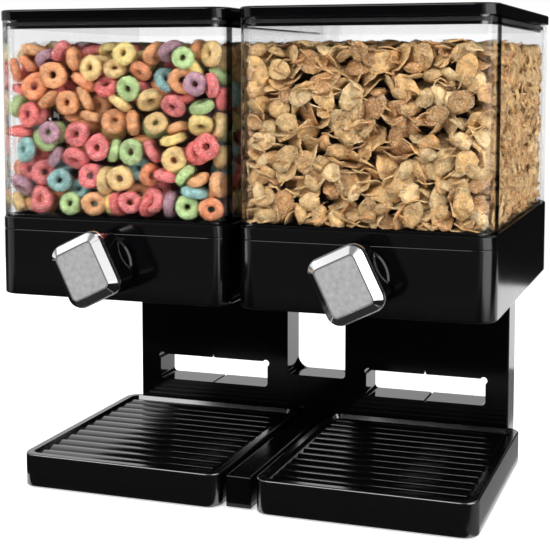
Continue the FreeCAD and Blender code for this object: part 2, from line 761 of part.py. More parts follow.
def make_shaft(side, sign):
    body = turning_body(f"drive_shaft_{side}", sign)
    half = "(dim.shaft_square / 2)"
    square = new_sketch(body, f"shaft_square_{side}", "XZ_Plane", WHEEL_REAR)
    rectangle(square, f"-{half}", half, f"-{half}", half)
    pad(body, square, f"{WHEEL_REAR} - {SOCKET_FRONT} - dim.seat_gap")
    journal = new_sketch(body, f"shaft_journal_{side}", "XZ_Plane", WHEEL_FRONT)
    circle(journal, "0", "0", "dim.journal_radius")
    pad(body, journal, f"{WHEEL_FRONT} - {HUB_FRONT}")
    tail = new_sketch(body, f"shaft_tail_{side}", "XZ_Plane", TAIL_END)
    circle(tail, "0", "0", "dim.tail_radius")
    pad(body, tail, f"{TAIL_END} - {WHEEL_REAR}")
    groove = new_sketch(body, f"shaft_groove_{side}", "XZ_Plane", GROOVE)
    circle(groove, "0", "0", "dim.tail_radius + dim.overrun")
    circle(groove, "0", "0", "dim.tail_radius - dim.clip_groove")
    pocket(body, groove, "dim.clip_thickness + dim.running_gap")
    return body


def make_clip(side, sign):
    """The open ring that keeps the shaft in its rear bush."""
    body = turning_body(f"shaft_clip_{side}", sign)
    ring = new_sketch(body, f"clip_ring_{side}", "XZ_Plane", GROOVE)
    circle(ring, "0", "0", "dim.clip_radius")
    circle(ring, "0", "0", "dim.tail_radius - dim.clip_groove + dim.running_gap")
    pad(body, ring, "dim.clip_thickness", reverse=True)
    mouth = new_sketch(body, f"clip_mouth_{side}", "XZ_Plane", TROUGH_REAR)
    half = "(dim.tail_radius / 2)"
    rectangle(mouth, f"-{half}", half, "0", "dim.clip_radius + dim.overrun")
    pocket(body, mouth)
    return body


def plate_outline(sketch, grow):
    """The knob's rounded outline, grown or shrunk by an expression."""
    rounded_rectangle(
        sketch,
        f"-(dim.plate_width / 2 + {grow})",
        f"(dim.plate_width / 2 + {grow})",
        f"-(dim.plate_height / 2 + {grow})",
        f"(dim.plate_height / 2 + {grow})",
        f"dim.plate_radius + {grow}",
    )


def make_knob(side, sign):
    """Bevelled front plate, shadow groove, thin flange and a tapered neck."""
    body = turning_body(f"knob_{side}", sign)
    rim_front = f"({KNOB_FRONT} + dim.bevel_depth)"
    rim_back = f"({rim_front} + dim.plate_rim)"
    flange_front = f"({rim_back} + dim.groove_width)"
    flange_back = f"({flange_front} + dim.flange_thickness)"
    rim = new_sketch(body, f"knob_rim_{side}", "XZ_Plane", rim_back)
    plate_outline(rim, "0")
    pad(body, rim, "dim.plate_rim")
    bevel_foot = new_sketch(body, f"knob_bevel_{side}", "XZ_Plane", rim_front)
    plate_outline(bevel_foot, "0")
    bevel_top = new_sketch(body, f"knob_bevel_top_{side}", "XZ_Plane", KNOB_FRONT)
    plate_outline(bevel_top, "(-dim.bevel_width)")
    loft(body, "AdditiveLoft", [bevel_foot, bevel_top])
    waist = new_sketch(body, f"knob_groove_{side}", "XZ_Plane", flange_front)
    plate_outline(waist, "(-dim.groove_depth)")
    pad(body, waist, "dim.groove_width")
    flange = new_sketch(body, f"knob_flange_{side}", "XZ_Plane", flange_back)
    plate_outline(flange, "dim.flange_proud")
    pad(body, flange, "dim.flange_thickness")
    neck_front = new_sketch(body, f"knob_neck_{side}", "XZ_Plane", flange_back)
    plate_outline(neck_front, "(-dim.neck_inset)")
    neck_back = new_sketch(body, f"knob_neck_back_{side}", "XZ_Plane", KNOB_BACK)
    plate_outline(neck_back, "(-dim.neck_inset - dim.neck_taper)")
    loft(body, "AdditiveLoft", [neck_front, neck_back])
    seat = new_sketch(body, f"knob_seat_{side}", "XZ_Plane", KNOB_FRONT)
    plate_outline(seat, "(-dim.bevel_width - dim.face_border)")
    pocket(body, seat, "dim.face_recess")
    socket = new_sketch(body, f"knob_socket_{side}", "XZ_Plane", KNOB_BACK)
    half = "(dim.shaft_square / 2 + dim.running_gap)"
    rectangle(socket, f"-{half}", half, f"-{half}", half)
    pocket(body, socket, "dim.socket_depth", reverse=True)
    return body


def make_knob_face(side, sign):
    body = turning_body(f"knob_face_{side}", sign)
    face = new_sketch(body, f"face_plate_{side}", "XZ_Plane", f"{KNOB_FRONT} + dim.face_recess")
    plate_outline(face, "(-dim.bevel_width - dim.face_border - dim.running_gap)")
    pad(body, face, "dim.face_thickness")
    return body


def make_tray(side, sign):
    """A drip tray: a raised rim round a ribbed floor, hollow below."""
    body = new_body(f"tray_{side}", x=f"{sign} * dim.tray_pitch / 2", y=TRAY_Y)
    shell = new_sketch(body, f"tray_shell_{side}", "XY_Plane", "dim.foot_height")
    tray_outline(shell, "0")
    pad(body, shell, "dim.tray_height - dim.foot_height")
    top = value("dim.tray_height")
    fillet(body, "dim.tray_edge_round", lambda edge: level_edge(edge, "z", top))
    recess = new_sketch(body, f"tray_recess_{side}", "XY_Plane", "dim.tray_height")
    tray_outline(recess, "dim.tray_rim")
    floor = new_sketch(body, f"tray_floor_{side}", "XY_Plane", "dim.tray_height - dim.tray_recess")
    tray_outline(floor, "(dim.tray_rim + dim.tray_recess / 2)")
    loft(body, "SubtractiveLoft", [recess, floor])
    hollow = new_sketch(body, f"tray_hollow_{side}", "XY_Plane", "dim.foot_height")
    tray_outline(hollow, "dim.tray_wall")
    hollow_depth = "dim.tray_height - dim.foot_height - dim.tray_recess - dim.tray_wall"
    pocket(body, hollow, hollow_depth, reverse=True)
    posts = new_sketch(body, f"tray_post_{side}", "XY_Plane", "dim.foot_height")
    for x, y in tray_foot_centres():
        circle(posts, x, y, "dim.foot_radius + dim.foot_pad")
    pad(body, posts, hollow_depth)
    seats = new_sketch(body, f"tray_foot_seat_{side}", "XY_Plane", "dim.foot_height")
    for x, y in tray_foot_centres():
        circle(seats, x, y, "dim.foot_radius + dim.running_gap")
    pocket(body, seats, "dim.foot_sink", reverse=True)
    rib = new_sketch(body, f"tray_rib_{side}", "YZ_Plane")
    rib_profile(rib)
    first = pad(body, rib, "dim.tray_width - 2 * (dim.tray_rim + dim.rib_end_gap)", symmetric=True)
    ribs = body.newObject("PartDesign::LinearPattern", f"tray_ribs_{side}")
    ribs.Originals = [first]
    ribs.Direction = (origin_item(body, "Y_Axis"), [""])
    ribs.setExpression("Length", "dim.rib_pitch * (dim.rib_count - 1)")
    ribs.setExpression("Occurrences", "dim.rib_count")
    body.Tip = ribs
    return body


TRAY_Y = f"({STAND_FRONT} - dim.stand_clearance - dim.tray_depth / 2)"


def tray_outline(sketch, inset):
    half_width = f"(dim.tray_width / 2 - {inset})"
    half_depth = f"(dim.tray_depth / 2 - {inset})"
    radius = f"dim.tray_radius - {inset}"
    rounded_rectangle(sketch, f"-{half_width}", half_width, f"-{half_depth}", half_depth, radius)


def tray_foot_centres():
    inset = "(dim.tray_wall + dim.foot_side_gap + dim.foot_radius)"
    x = f"(dim.tray_width / 2 - {inset})"
    y = f"(dim.tray_depth / 2 - {inset})"
    return [(f"{i} * {x}", f"{j} * {y}") for i in (-1, 1) for j in (-1, 1)]


def rib_profile(sketch):
    """A low round bar on the tray's floor, seen along its length."""
    middle = "(-dim.rib_pitch * (dim.rib_count - 1) / 2)"
    base = "dim.tray_height - dim.tray_recess"
    start = f"{middle} + dim.rib_width / 2"
    end = f"{middle} - dim.rib_width / 2"
    crown = Vector(value(middle), value(f"{base} + dim.rib_height"), 0)
    right = Vector(value(start), value(base), 0)
    left = Vector(value(end), value(base), 0)
    sketch.addGeometry(Part.Arc(right, crown, left))
    sketch.addGeometry(Part.LineSegment(left, right))
    sketch.addConstraint(Sketcher.Constraint("Coincident", 0, 2, 1, 1))
    sketch.addConstraint(Sketcher.Constraint("Coincident", 1, 2, 0, 1))
    place_point(sketch, 1, 1, end, base)
    place_point(sketch, 1, 2, start, base)
    bind(sketch, "Radius", (0,), "(dim.rib_width ^ 2 / 4 + dim.rib_height ^ 2) / (2 * dim.rib_height)")


def make_tray_feet(side, sign):
    body = new_body(f"tray_feet_{side}", x=f"{sign} * dim.tray_pitch / 2", y=TRAY_Y)
    body.AllowCompound = True
    discs = new_sketch(body, f"tray_disc_{side}", "XY_Plane")
    for x, y in tray_foot_centres():
        circle(discs, x, y, "dim.foot_radius")
    pad(body, discs, "dim.foot_height + dim.foot_sink")
    return body


def stand_outline(sketch, inset):
    """The stand from the front: two posts joined by a low cross piece."""
    outer = f"(dim.stand_width / 2 - {inset})"
    inner = f"(dim.opening_width / 2 + {inset})"
    low = f"dim.foot_height + {inset}"
    high = f"{HOUSING_BOTTOM} - {inset}"
    ledge = f"dim.ledge_height - {inset}"
    polygon(
        sketch,
        (
            (f"-{outer}", low),
            (outer, low),
            (outer, high),
            (inner, high),
            (inner, ledge),
            (f"-{inner}", ledge),
            (f"-{inner}", high),
            (f"-{outer}", high),
        ),
    )


def round_opening(body, radius):
    """Rounds the two lower corners between the posts."""
    half = value("dim.opening_width / 2")
    ledge = value("dim.ledge_height")

    def inner_corner(edge):
        box = edge.BoundBox
        return level_edge(edge, "z", ledge) and near(abs(box.XMin), half) and near(box.XMin, box.XMax)

    fillet(body, radius, inner_corner)


POST_X = "((dim.stand_width + dim.opening_width) / 4)"
SLOT_TOP = "(dim.slot_bottom + dim.slot_height)"


def slot_outline(sketch, sign):
    """A slot with rounded corners and a small notch in the middle of its top."""
    centre = f"{sign} * {POST_X}"
    half = "(dim.slot_width / 2)"
    left = f"{centre} - {half}"
    right = f"{centre} + {half}"
    rounded_rectangle(sketch, left, right, "dim.slot_bottom", SLOT_TOP, "dim.slot_radius")


def slot_details(body, name, low, high):
    """The notch over each slot's middle, its corner ears and its floor mark."""
    notch = new_sketch(body, f"{name}_notch", "XZ_Plane", low)
    for sign in (-1, 1):
        centre = f"{sign} * {POST_X}"
        polygon(
            notch,
            (
                (f"{centre} - dim.notch_width / 2", f"{SLOT_TOP} - dim.slot_radius"),
                (f"{centre} + dim.notch_width / 2", f"{SLOT_TOP} - dim.slot_radius"),
                (centre, f"{SLOT_TOP} + dim.notch_height"),
            ),
        )
        for end in (-1, 1):
            ear = f"{centre} + {end} * (dim.slot_width / 2 - dim.ear_radius / 2)"
            circle(notch, ear, f"{SLOT_TOP} - dim.ear_radius / 2", "dim.ear_radius")
    pocket(body, notch, f"{high} - {low}")
    mark = new_sketch(body, f"{name}_mark", "XZ_Plane", low)
    for sign in (-1, 1):
        centre = f"{sign} * {POST_X}"
        rectangle(
            mark,
            f"{centre} - dim.mark_width / 2",
            f"{centre} + dim.mark_width / 2",
            "dim.slot_bottom - dim.mark_depth",
            "dim.slot_bottom + dim.slot_radius",
        )
    pocket(body, mark, f"{high} - {low}")


def cover_screw_centres():
    places = []
    for sign in (-1, 1):
        for x in ("dim.opening_width / 2 + dim.boss_inset", "dim.stand_width / 2 - dim.boss_inset"):
            for z in ("dim.boss_low", "dim.boss_high"):
                places.append((f"{sign} * ({x})", z))
    return places


def make_stand_shell():
    body = new_body("stand_shell")
    front = new_sketch(body, "stand_front_outline", "XZ_Plane", COVER_FRONT)
    stand_outline(front, "0")
    pad(body, front, f"{COVER_FRONT} - {STAND_FRONT}")
    round_opening(body, "dim.opening_radius")
    cavity = new_sketch(body, "stand_cavity", "XZ_Plane", COVER_FRONT)
    stand_outline(cavity, "dim.stand_wall")
    sleeve = "(dim.slot_width / 2 + dim.slot_sleeve + dim.ear_radius / 2)"
    for sign in (-1, 1):
        centre = f"{sign} * {POST_X}"
        rectangle(
            cavity,
            f"{centre} - {sleeve}",
            f"{centre} + {sleeve}",
            "dim.slot_bottom - dim.slot_sleeve - dim.mark_depth",
            f"{SLOT_TOP} + dim.slot_sleeve + dim.notch_height",
        )
    pocket(body, cavity, f"{COVER_FRONT} - {STAND_FRONT} - dim.stand_wall", reverse=True)
    bosses = new_sketch(body, "stand_bosses", "XZ_Plane", COVER_FRONT)
    for x, z in cover_screw_centres():
        circle(bosses, x, z, "dim.boss_radius")
    pad(body, bosses, f"{COVER_FRONT} - {STAND_FRONT} - dim.stand_wall / 2")
    pilots = new_sketch(body, "stand_pilots", "XZ_Plane", COVER_FRONT)
    for x, z in cover_screw_centres():
        circle(pilots, x, z, PILOT)
    pocket(body, pilots, "dim.cover_screw_reach", reverse=True)
    slots = new_sketch(body, "stand_slots", "XZ_Plane", STAND_FRONT)
    for sign in (-1, 1):
        slot_outline(slots, sign)
    pocket(body, slots, "dim.stand_depth")
    slot_details(body, "stand_slot", STAND_FRONT, STAND_BACK)
    top_holes = new_sketch(body, "stand_top_holes", "XY_Plane", HOUSING_BOTTOM)
    for x, y in housing_screw_centres():
        circle(top_holes, x, y, SCREW_HOLE)
    pocket(body, top_holes, "dim.stand_wall")
    bar_holes = new_sketch(body, "stand_bar_holes", "XZ_Plane", STAND_FRONT)
    for z in bar_screw_levels():
        circle(bar_holes, "0", z, SCREW_HOLE)
    pocket(body, bar_holes, "dim.stand_wall")
    seats = new_sketch(body, "stand_foot_seats", "XY_Plane", "dim.foot_height")
    for x, y in stand_foot_centres():
        circle(seats, x, y, "dim.foot_radius + dim.running_gap")
    pocket(body, seats, "dim.foot_sink", reverse=True)
    face = value(STAND_FRONT)
    outside = value("dim.stand_width / 2")

    def front_side(edge):
        box = edge.BoundBox
        return level_edge(edge, "y", face) and near(abs(box.XMax), outside) and near(abs(box.XMin), outside)

    fillet(body, "dim.stand_round", front_side)
    return body


def make_stand_back():
    """The plate that closes the stand, with its own larger opening radius."""
    body = new_body("stand_back")
    plate = new_sketch(body, "back_outline", "XZ_Plane", STAND_BACK)
    stand_outline(plate, "0")
    pad(body, plate, "dim.cover_thickness")
    round_opening(body, "dim.cover_radius")
    slots = new_sketch(body, "back_slots", "XZ_Plane", COVER_FRONT)
    for sign in (-1, 1):
        slot_outline(slots, sign)
    pocket(body, slots, "dim.cover_thickness")
    slot_details(body, "back_slot", COVER_FRONT, STAND_BACK)
    holes = new_sketch(body, "back_screw_holes", "XZ_Plane", COVER_FRONT)
    for x, z in cover_screw_centres():
        circle(holes, x, z, SCREW_HOLE)
    pocket(body, holes, "dim.cover_thickness")
    sinks = new_sketch(body, "back_screw_sinks", "XZ_Plane", STAND_BACK)
    for x, z in cover_screw_centres():
        circle(sinks, x, z, "dim.screw_head + dim.slip_gap")
    pocket(body, sinks, "dim.screw_head_height", reverse=True)
    return body


def housing_screw_centres():
    return [
        (f"{sign} * {BIN_X} + {step} * dim.housing_screw_pitch", STAND_MIDDLE)
        for sign in (-1, 1)
        for step in (-1, 1)
    ]


def bar_screw_levels():
    middle = "(dim.foot_height + dim.bar_height) / 2"
    return [f"{middle} + {step} * dim.bar_screw_pitch / 2" for step in (-1, 1)]


def stand_foot_centres():
    inner = "(dim.opening_width / 2 + 2 * dim.foot_radius)"
    outer = "(dim.stand_width / 2 - 2 * dim.foot_radius)"
    return [(f"{sign} * {x}", STAND_MIDDLE) for sign in (-1, 1) for x in (inner, outer)]


BAR_FRONT = f"({STAND_FRONT} - dim.bar_length)"


def bar_foot_centres():
    return [("0", f"{BAR_FRONT} + dim.bar_foot_inset"), ("0", f"{BAR_FRONT} + dim.bar_length / 2")]


def make_base_bar():
    """The bar between the trays, which keeps the stand from tipping forward."""
    body = new_body("base_bar")
    outline = new_sketch(body, "bar_outline", "XZ_Plane", STAND_FRONT)
    half = "(dim.bar_width / 2)"
    rectangle(outline, f"-{half}", half, "dim.foot_height", "dim.bar_height")
    pad(body, outline, "dim.bar_length")
    pilots = new_sketch(body, "bar_pilots", "XZ_Plane", STAND_FRONT)
    for z in bar_screw_levels():
        circle(pilots, "0", z, PILOT)
    pocket(body, pilots, "dim.bar_screw_reach", reverse=True)
    seats = new_sketch(body, "bar_foot_seats", "XY_Plane", "dim.foot_height")
    for x, y in bar_foot_centres():
        circle(seats, x, y, "dim.foot_radius + dim.running_gap")
    pocket(body, seats, "dim.foot_sink", reverse=True)
    top = value("dim.bar_height")
    front = value(BAR_FRONT)
    rear = value(STAND_FRONT)

    def shown_edge(edge):
        box = edge.BoundBox
        if level_edge(edge, "y", rear):
            return False
        return level_edge(edge, "z", top) or (level_edge(edge, "y", front) and box.ZLength > box.XLength)

    fillet(body, "dim.bar_round", shown_edge)
    return body


def make_stand_feet():
    body = new_body("stand_feet")
    body.AllowCompound = True
    discs = new_sketch(body, "stand_discs", "XY_Plane")
    for x, y in stand_foot_centres() + bar_foot_centres():
        circle(discs, x, y, "dim.foot_radius")
    pad(body, discs, "dim.foot_height + dim.foot_sink")
    return body


def screw_shape(reach):
    """A flat-head screw along +Z, its head's seat at the origin."""
    shank = Part.makeCylinder(value("dim.screw_shank"), reach)
    head_height = value("dim.screw_head_height")
    head = Part.makeCylinder(value("dim.screw_head"), head_height, Vector(0, 0, -head_height))
    return head.fuse(shank)


def make_screws(label, reach, places, direction):
    """Equal screws in one sub-part, each driven along a direction from its place."""
    turn = Rotation(Vector(0, 0, 1), direction)
    screws = []
    for place in places:
        screw = screw_shape(reach)
        screw.Placement = Placement(Vector(*[value(item) for item in place]), turn)
        screws.append(screw)
    feature = doc.addObject("Part::Feature", label)
    feature.Label = label
    feature.Shape = Part.makeCompound(screws)
    return feature


def make_fasteners():
    lid_of_stand = f"{HOUSING_BOTTOM} - dim.stand_wall"
    housing = make_screws(
        "housing_screws",
        value("dim.stand_wall + dim.housing_screw_reach - dim.slip_gap"),
        [(x, y, lid_of_stand) for x, y in housing_screw_centres()],
        Vector(0, 0, 1),
    )
    sink = f"{STAND_BACK} - dim.screw_head_height"
    cover = make_screws(
        "stand_screws",
        value("dim.cover_thickness - dim.screw_head_height + dim.cover_screw_reach - dim.slip_gap"),
        [(x, sink, z) for x, z in cover_screw_centres()],
        Vector(0, -1, 0),
    )
    bar = make_screws(
        "bar_screws",
        value("dim.stand_wall + dim.bar_screw_reach - dim.slip_gap"),
        [("0", f"{STAND_FRONT} + dim.stand_wall", z) for z in bar_screw_levels()],
        Vector(0, -1, 0),
    )
    lug_top = f"{HOUSING_FLOOR_TOP} + dim.trough_wall"
    trough = make_screws(
        "trough_screws",
        value("dim.trough_wall + dim.housing_floor - dim.edge_round - dim.slip_gap"),
        [(f"{sign} * {BIN_X} + {x}", y, lug_top) for sign in (-1, 1) for x, y in lug_centres()],
        Vector(0, 0, -1),
    )
    return [housing, cover, bar, trough]


# ------------------------------------------------------------------- the whole

PER_SIDE = (
    make_canister,
    make_collar,
    make_funnel,
    make_lid,
    make_lid_plug,
    make_lid_seal,
    make_housing,
    make_trough,
    make_hub,
    make_hub_nut,
    make_rear_bush,
    make_wheel,
    make_shaft,
    make_clip,
    make_knob,
    make_knob_face,
    make_tray,
    make_tray_feet,
)

subparts = [make_stand_shell(), make_stand_back(), make_base_bar(), make_stand_feet()]
for make in PER_SIDE:
    for side, sign in SIDES:
        subparts.append(make(side, sign))
subparts += make_fasteners()
doc.recompute()

faults = []
for item in doc.Objects:
    if "Invalid" in item.State or "Error" in item.State:
        faults.append(f"{item.Label} ({item.TypeId}) is {item.State}")
    if item.TypeId == "Sketcher::SketchObject" and item.solve() != 0:
        faults.append(f"{item.Label} does not solve")
    if item.TypeId in ("PartDesign::Pocket", "PartDesign::SubtractiveLoft"):
        if item.Shape.Volume > item.BaseFeature.Shape.Volume - 1e-3:
            faults.append(f"{item.Label} cuts nothing")
    if item.TypeId in ("PartDesign::Pad", "PartDesign::AdditiveLoft") and item.BaseFeature:
        if item.Shape.Volume < item.BaseFeature.Shape.Volume + 1e-3:
            faults.append(f"{item.Label} adds nothing")
for item in subparts:
    if item.Shape.isNull() or not item.Shape.isValid():
        faults.append(f"{item.Label} has no valid shape")
if faults:
    raise RuntimeError("\n".join(faults))

os.makedirs("parts", exist_ok=True)
for item in subparts:
    item.Shape.exportStep(f"parts/{item.Label}.step")
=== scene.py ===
import json
import math
import random

import bmesh
import bpy
import numpy as np
from bpy.props import FloatProperty, FloatVectorProperty, IntProperty, PointerProperty
from mathutils import Matrix, Vector, noise

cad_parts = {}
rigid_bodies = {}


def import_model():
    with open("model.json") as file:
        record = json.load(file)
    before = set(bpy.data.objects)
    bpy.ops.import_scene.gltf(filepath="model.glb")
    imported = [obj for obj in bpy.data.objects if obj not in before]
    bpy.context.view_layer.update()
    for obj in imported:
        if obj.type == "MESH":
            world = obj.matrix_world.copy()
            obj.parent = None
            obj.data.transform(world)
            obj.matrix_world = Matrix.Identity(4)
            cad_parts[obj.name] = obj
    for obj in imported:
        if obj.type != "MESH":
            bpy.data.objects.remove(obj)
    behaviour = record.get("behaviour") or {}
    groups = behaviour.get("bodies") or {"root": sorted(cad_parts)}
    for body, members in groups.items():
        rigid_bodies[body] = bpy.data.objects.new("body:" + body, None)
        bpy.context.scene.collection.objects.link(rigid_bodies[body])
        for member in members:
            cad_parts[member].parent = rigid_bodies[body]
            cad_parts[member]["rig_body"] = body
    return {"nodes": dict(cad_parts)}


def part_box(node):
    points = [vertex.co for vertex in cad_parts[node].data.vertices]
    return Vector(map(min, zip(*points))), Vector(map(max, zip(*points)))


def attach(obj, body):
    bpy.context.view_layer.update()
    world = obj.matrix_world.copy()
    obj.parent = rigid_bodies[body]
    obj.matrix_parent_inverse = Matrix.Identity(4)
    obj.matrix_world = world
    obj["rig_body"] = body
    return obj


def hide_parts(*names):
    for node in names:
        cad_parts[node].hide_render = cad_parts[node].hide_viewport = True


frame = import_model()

bl_info = {
    "name": "Cereal dispenser looks",
    "version": (1, 0, 0),
    "blender": (4, 5, 0),
    "location": "3D View > Sidebar > Dispenser",
    "description": "Finishes a twin cereal dispenser and fills its canisters",
    "category": "Object",
}

SIDES = ("left", "right")
RING_SIDE = "left"
FLAKE_SIDE = "right"

# Metres: a canister's wall, and the radius of its corners outside and inside.
WALL = 0.0026
OUTER_CORNER = 0.0133
INNER_CORNER = OUTER_CORNER - WALL

# Points nearer than this, in metres, are one point.
SAME_POINT = 1e-6

# Edges of the CAD nodes that turn by more than this stay crisp.
CRISP_ANGLE = math.radians(32)


# ---------------------------------------------------------------- settings


def number_setting(name, description, default):
    """A plain number in the sidebar's settings."""
    return FloatProperty(name=name, description=description, default=default)


def length_setting(name, description, default):
    """A length in metres in the settings."""
    return FloatProperty(name=name, description=description, default=default, unit="LENGTH")


def angle_setting(name, description, degrees):
    """An angle in the settings, given in degrees."""
    return FloatProperty(
        name=name, description=description, default=math.radians(degrees), subtype="ANGLE"
    )


def colour_setting(name, description, default):
    """A colour in the settings."""
    return FloatVectorProperty(
        name=name, description=description, default=default, size=3, subtype="COLOR"
    )


class StageSettings(bpy.types.PropertyGroup):
    floor_size: length_setting("Floor size", "Width of the square floor", 1.6)
    floor_colour: colour_setting("Floor colour", "Colour of the floor", (0.9, 0.9, 0.9))
    floor_glow: number_setting("Floor glow", "How bright the floor shines by itself where it is seen", 0.55)
    world_light: number_setting("World light", "Strength of the even light all round", 0.34)
    room_front: number_setting("Room front", "How bright the low front of the room looks mirrored", 0.22)
    room_high: number_setting("Room high", "How bright the front looks above eye level", 0.02)
    room_back: number_setting("Room back", "How bright the dark right of the back looks", 0.008)
    room_top: number_setting("Room top", "How bright the ceiling looks straight above", 0.3)
    key_light: number_setting("Key light", "Power of the large lamp above the front", 18.5)
    right_light: number_setting("Right light", "Power of the soft box on the right", 12.0)
    left_light: number_setting("Left light", "Power of the soft box on the left", 3.0)
    back_light: number_setting("Back light", "Power of the lamp behind", 8.0)
    camera_place: FloatVectorProperty(
        name="Camera place",
        description="Where the camera stands",
        default=(0.27864, -0.80559, 0.27355),
        size=3,
        subtype="TRANSLATION",
    )
    camera_turn: angle_setting("Camera turn", "Turn to the left", 19.316)
    camera_tilt: angle_setting("Camera tilt", "Tilt below level", 5.134)
    camera_lens: number_setting("Lens", "Focal length in millimetres", 83.988)
    camera_shift: number_setting("Shift", "Upward shift of the lens", -0.17)


class PlasticSettings(bpy.types.PropertyGroup):
    black: colour_setting("Black", "Colour of the black mouldings", (0.0011, 0.0011, 0.0014))
    gloss_roughness: number_setting("Gloss roughness", "Roughness of the shiny mouldings", 0.09)
    satin_roughness: number_setting("Satin roughness", "Roughness of the hidden mouldings", 0.42)
    shine: number_setting("Shine", "Specular level of the shiny mouldings", 0.3)
    clear_tint: colour_setting("Clear tint", "Tint of the clear canisters", (0.985, 0.99, 0.992))
    # The corner colour is painted shade: it stands for the dark line seen down the canisters' rounded front
    # corners.
    painted_corner_shade: colour_setting("Corner tint", "Tint of their thick corners", (0.004, 0.004, 0.005))


class MetalSettings(bpy.types.PropertyGroup):
    chrome: colour_setting("Chrome", "Colour of the plated knobs", (0.86, 0.86, 0.87))
    chrome_roughness: number_setting("Chrome roughness", "Roughness of the plating", 0.07)
    face: colour_setting("Knob face", "Colour of the satin inset", (0.69, 0.69, 0.70))
    steel: colour_setting("Steel", "Colour of shafts and screws", (0.5, 0.5, 0.51))


class SoftSettings(bpy.types.PropertyGroup):
    silicone: colour_setting("Silicone", "Colour of the paddle wheels", (0.42, 0.42, 0.4))
    rubber: colour_setting("Rubber", "Colour of feet and seals", (0.02, 0.02, 0.02))


class RingSettings(bpy.types.PropertyGroup):
    radius: length_setting("Radius", "From a ring's middle to its tube's", 0.0049)
    tube: length_setting("Tube", "Radius of a ring's tube", 0.0031)
    fill_level: length_setting("Fill level", "Height of the cereal's top", 0.2905)
    seed: IntProperty(name="Seed", description="Seed of the tumble", default=7)


class FlakeSettings(bpy.types.PropertyGroup):
    length: length_setting("Length", "Half length of a flake", 0.0083)
    width: length_setting("Width", "Half width of a flake", 0.0070)
    thickness: length_setting("Thickness", "Thickness of a flake", 0.0007)
    fill_level: length_setting("Fill level", "Height of the cereal's top", 0.2895)
    seed: IntProperty(name="Seed", description="Seed of the tumble", default=21)


SETTINGS = {
    "dispenser_stage": StageSettings,
    "dispenser_plastic": PlasticSettings,
    "dispenser_metal": MetalSettings,
    "dispenser_soft": SoftSettings,
    "dispenser_rings": RingSettings,
    "dispenser_flakes": FlakeSettings,
}


# -------------------------------------------------------------- materials


class ShaderNet:
    """Adds nodes to one shader tree. A value is a number or the socket that gives it."""

    def __init__(self, tree):
        self.nodes = tree.nodes
        self.link = tree.links.new

    def add(self, kind, **values):
        """A node with some of its inputs set, their names written in lower case with underscores."""
        node = self.nodes.new(f"ShaderNode{kind}")
        for name, value in values.items():
            self.feed(node.inputs[name.replace("_", " ").title()], value)
        return node

    def feed(self, socket, value):
        """Links an input to a socket, or sets it to a number."""
        if isinstance(value, bpy.types.NodeSocket):
            self.link(value, socket)
        else:
            socket.default_value = value

    def combine(self, operation, *values):
        """The result of one sum."""
        node = self.nodes.new("ShaderNodeMath")
        node.operation = operation
        for socket, value in zip(node.inputs, values):
            self.feed(socket, value)
        return node.outputs[0]

    def blend(self, first, second, share):
        """Goes from one brightness to another."""
        return self.add("Mix", a=first, b=second, factor=share).outputs["Result"]

    def mix_colours(self, first, second, share):
        """Goes from one colour to another."""
        node = self.nodes.new("ShaderNodeMix")
        node.data_type = "RGBA"
        for name, value in (("A", first), ("B", second), ("Factor", share)):
            self.feed(node.inputs[name], value)
        return node.outputs["Result"]

    def spread(self, value, low, high):
        """Stretches 0 to 1 over a range."""
        return self.add("MapRange", value=value, to_min=low, to_max=high).outputs["Result"]

    def ease(self, value, low, high):
        """Rises softly from 0 to 1 between two values."""
        node = self.add("MapRange", value=value, from_min=low, from_max=high)
        node.interpolation_type = "SMOOTHSTEP"
        return node.outputs["Result"]


def shader_material(name):
    """A new material with its net and its Principled shader."""
    material = bpy.data.materials.new(name)
    material.use_nodes = True
    net = ShaderNet(material.node_tree)
    return material, net, net.nodes["Principled BSDF"]


def grain_group():
    """A node group for moulded and cast surfaces: mottled colour, uneven gloss and a fine bump."""
    name = "cast_surface_grain"
    if name in bpy.data.node_groups:
        return bpy.data.node_groups[name]
    group = bpy.data.node_groups.new(name, "ShaderNodeTree")
    for way, kind, labels in (
        ("INPUT", "Vector", ("Vector",)),
        ("INPUT", "Color", ("Colour", "Mottle Colour")),
        ("INPUT", "Float", ("Mottle Scale", "Roughness", "Roughness Spread", "Grain Scale", "Grain Height")),
        ("OUTPUT", "Color", ("Colour",)),
        ("OUTPUT", "Float", ("Roughness",)),
        ("OUTPUT", "Vector", ("Normal",)),
    ):
        for label in labels:
            group.interface.new_socket(label, in_out=way, socket_type=f"NodeSocket{kind}")
    net = ShaderNet(group)
    given = net.nodes.new("NodeGroupInput").outputs
    result = net.nodes.new("NodeGroupOutput").inputs
    mottle = net.add("TexNoise", vector=given["Vector"], scale=given["Mottle Scale"], detail=3.0)
    share = mottle.outputs["Fac"]
    net.link(net.mix_colours(given["Colour"], given["Mottle Colour"], share), result["Colour"])
    uneven = net.combine("MULTIPLY_ADD", share, given["Roughness Spread"], given["Roughness"])
    net.link(uneven, result["Roughness"])
    grain = net.add("TexNoise", vector=given["Vector"], scale=given["Grain Scale"], detail=2.0)
    bump = net.add("Bump", height=grain.outputs["Fac"], strength=given["Grain Height"], distance=0.0004)
    net.link(bump.outputs["Normal"], result["Normal"])
    return group


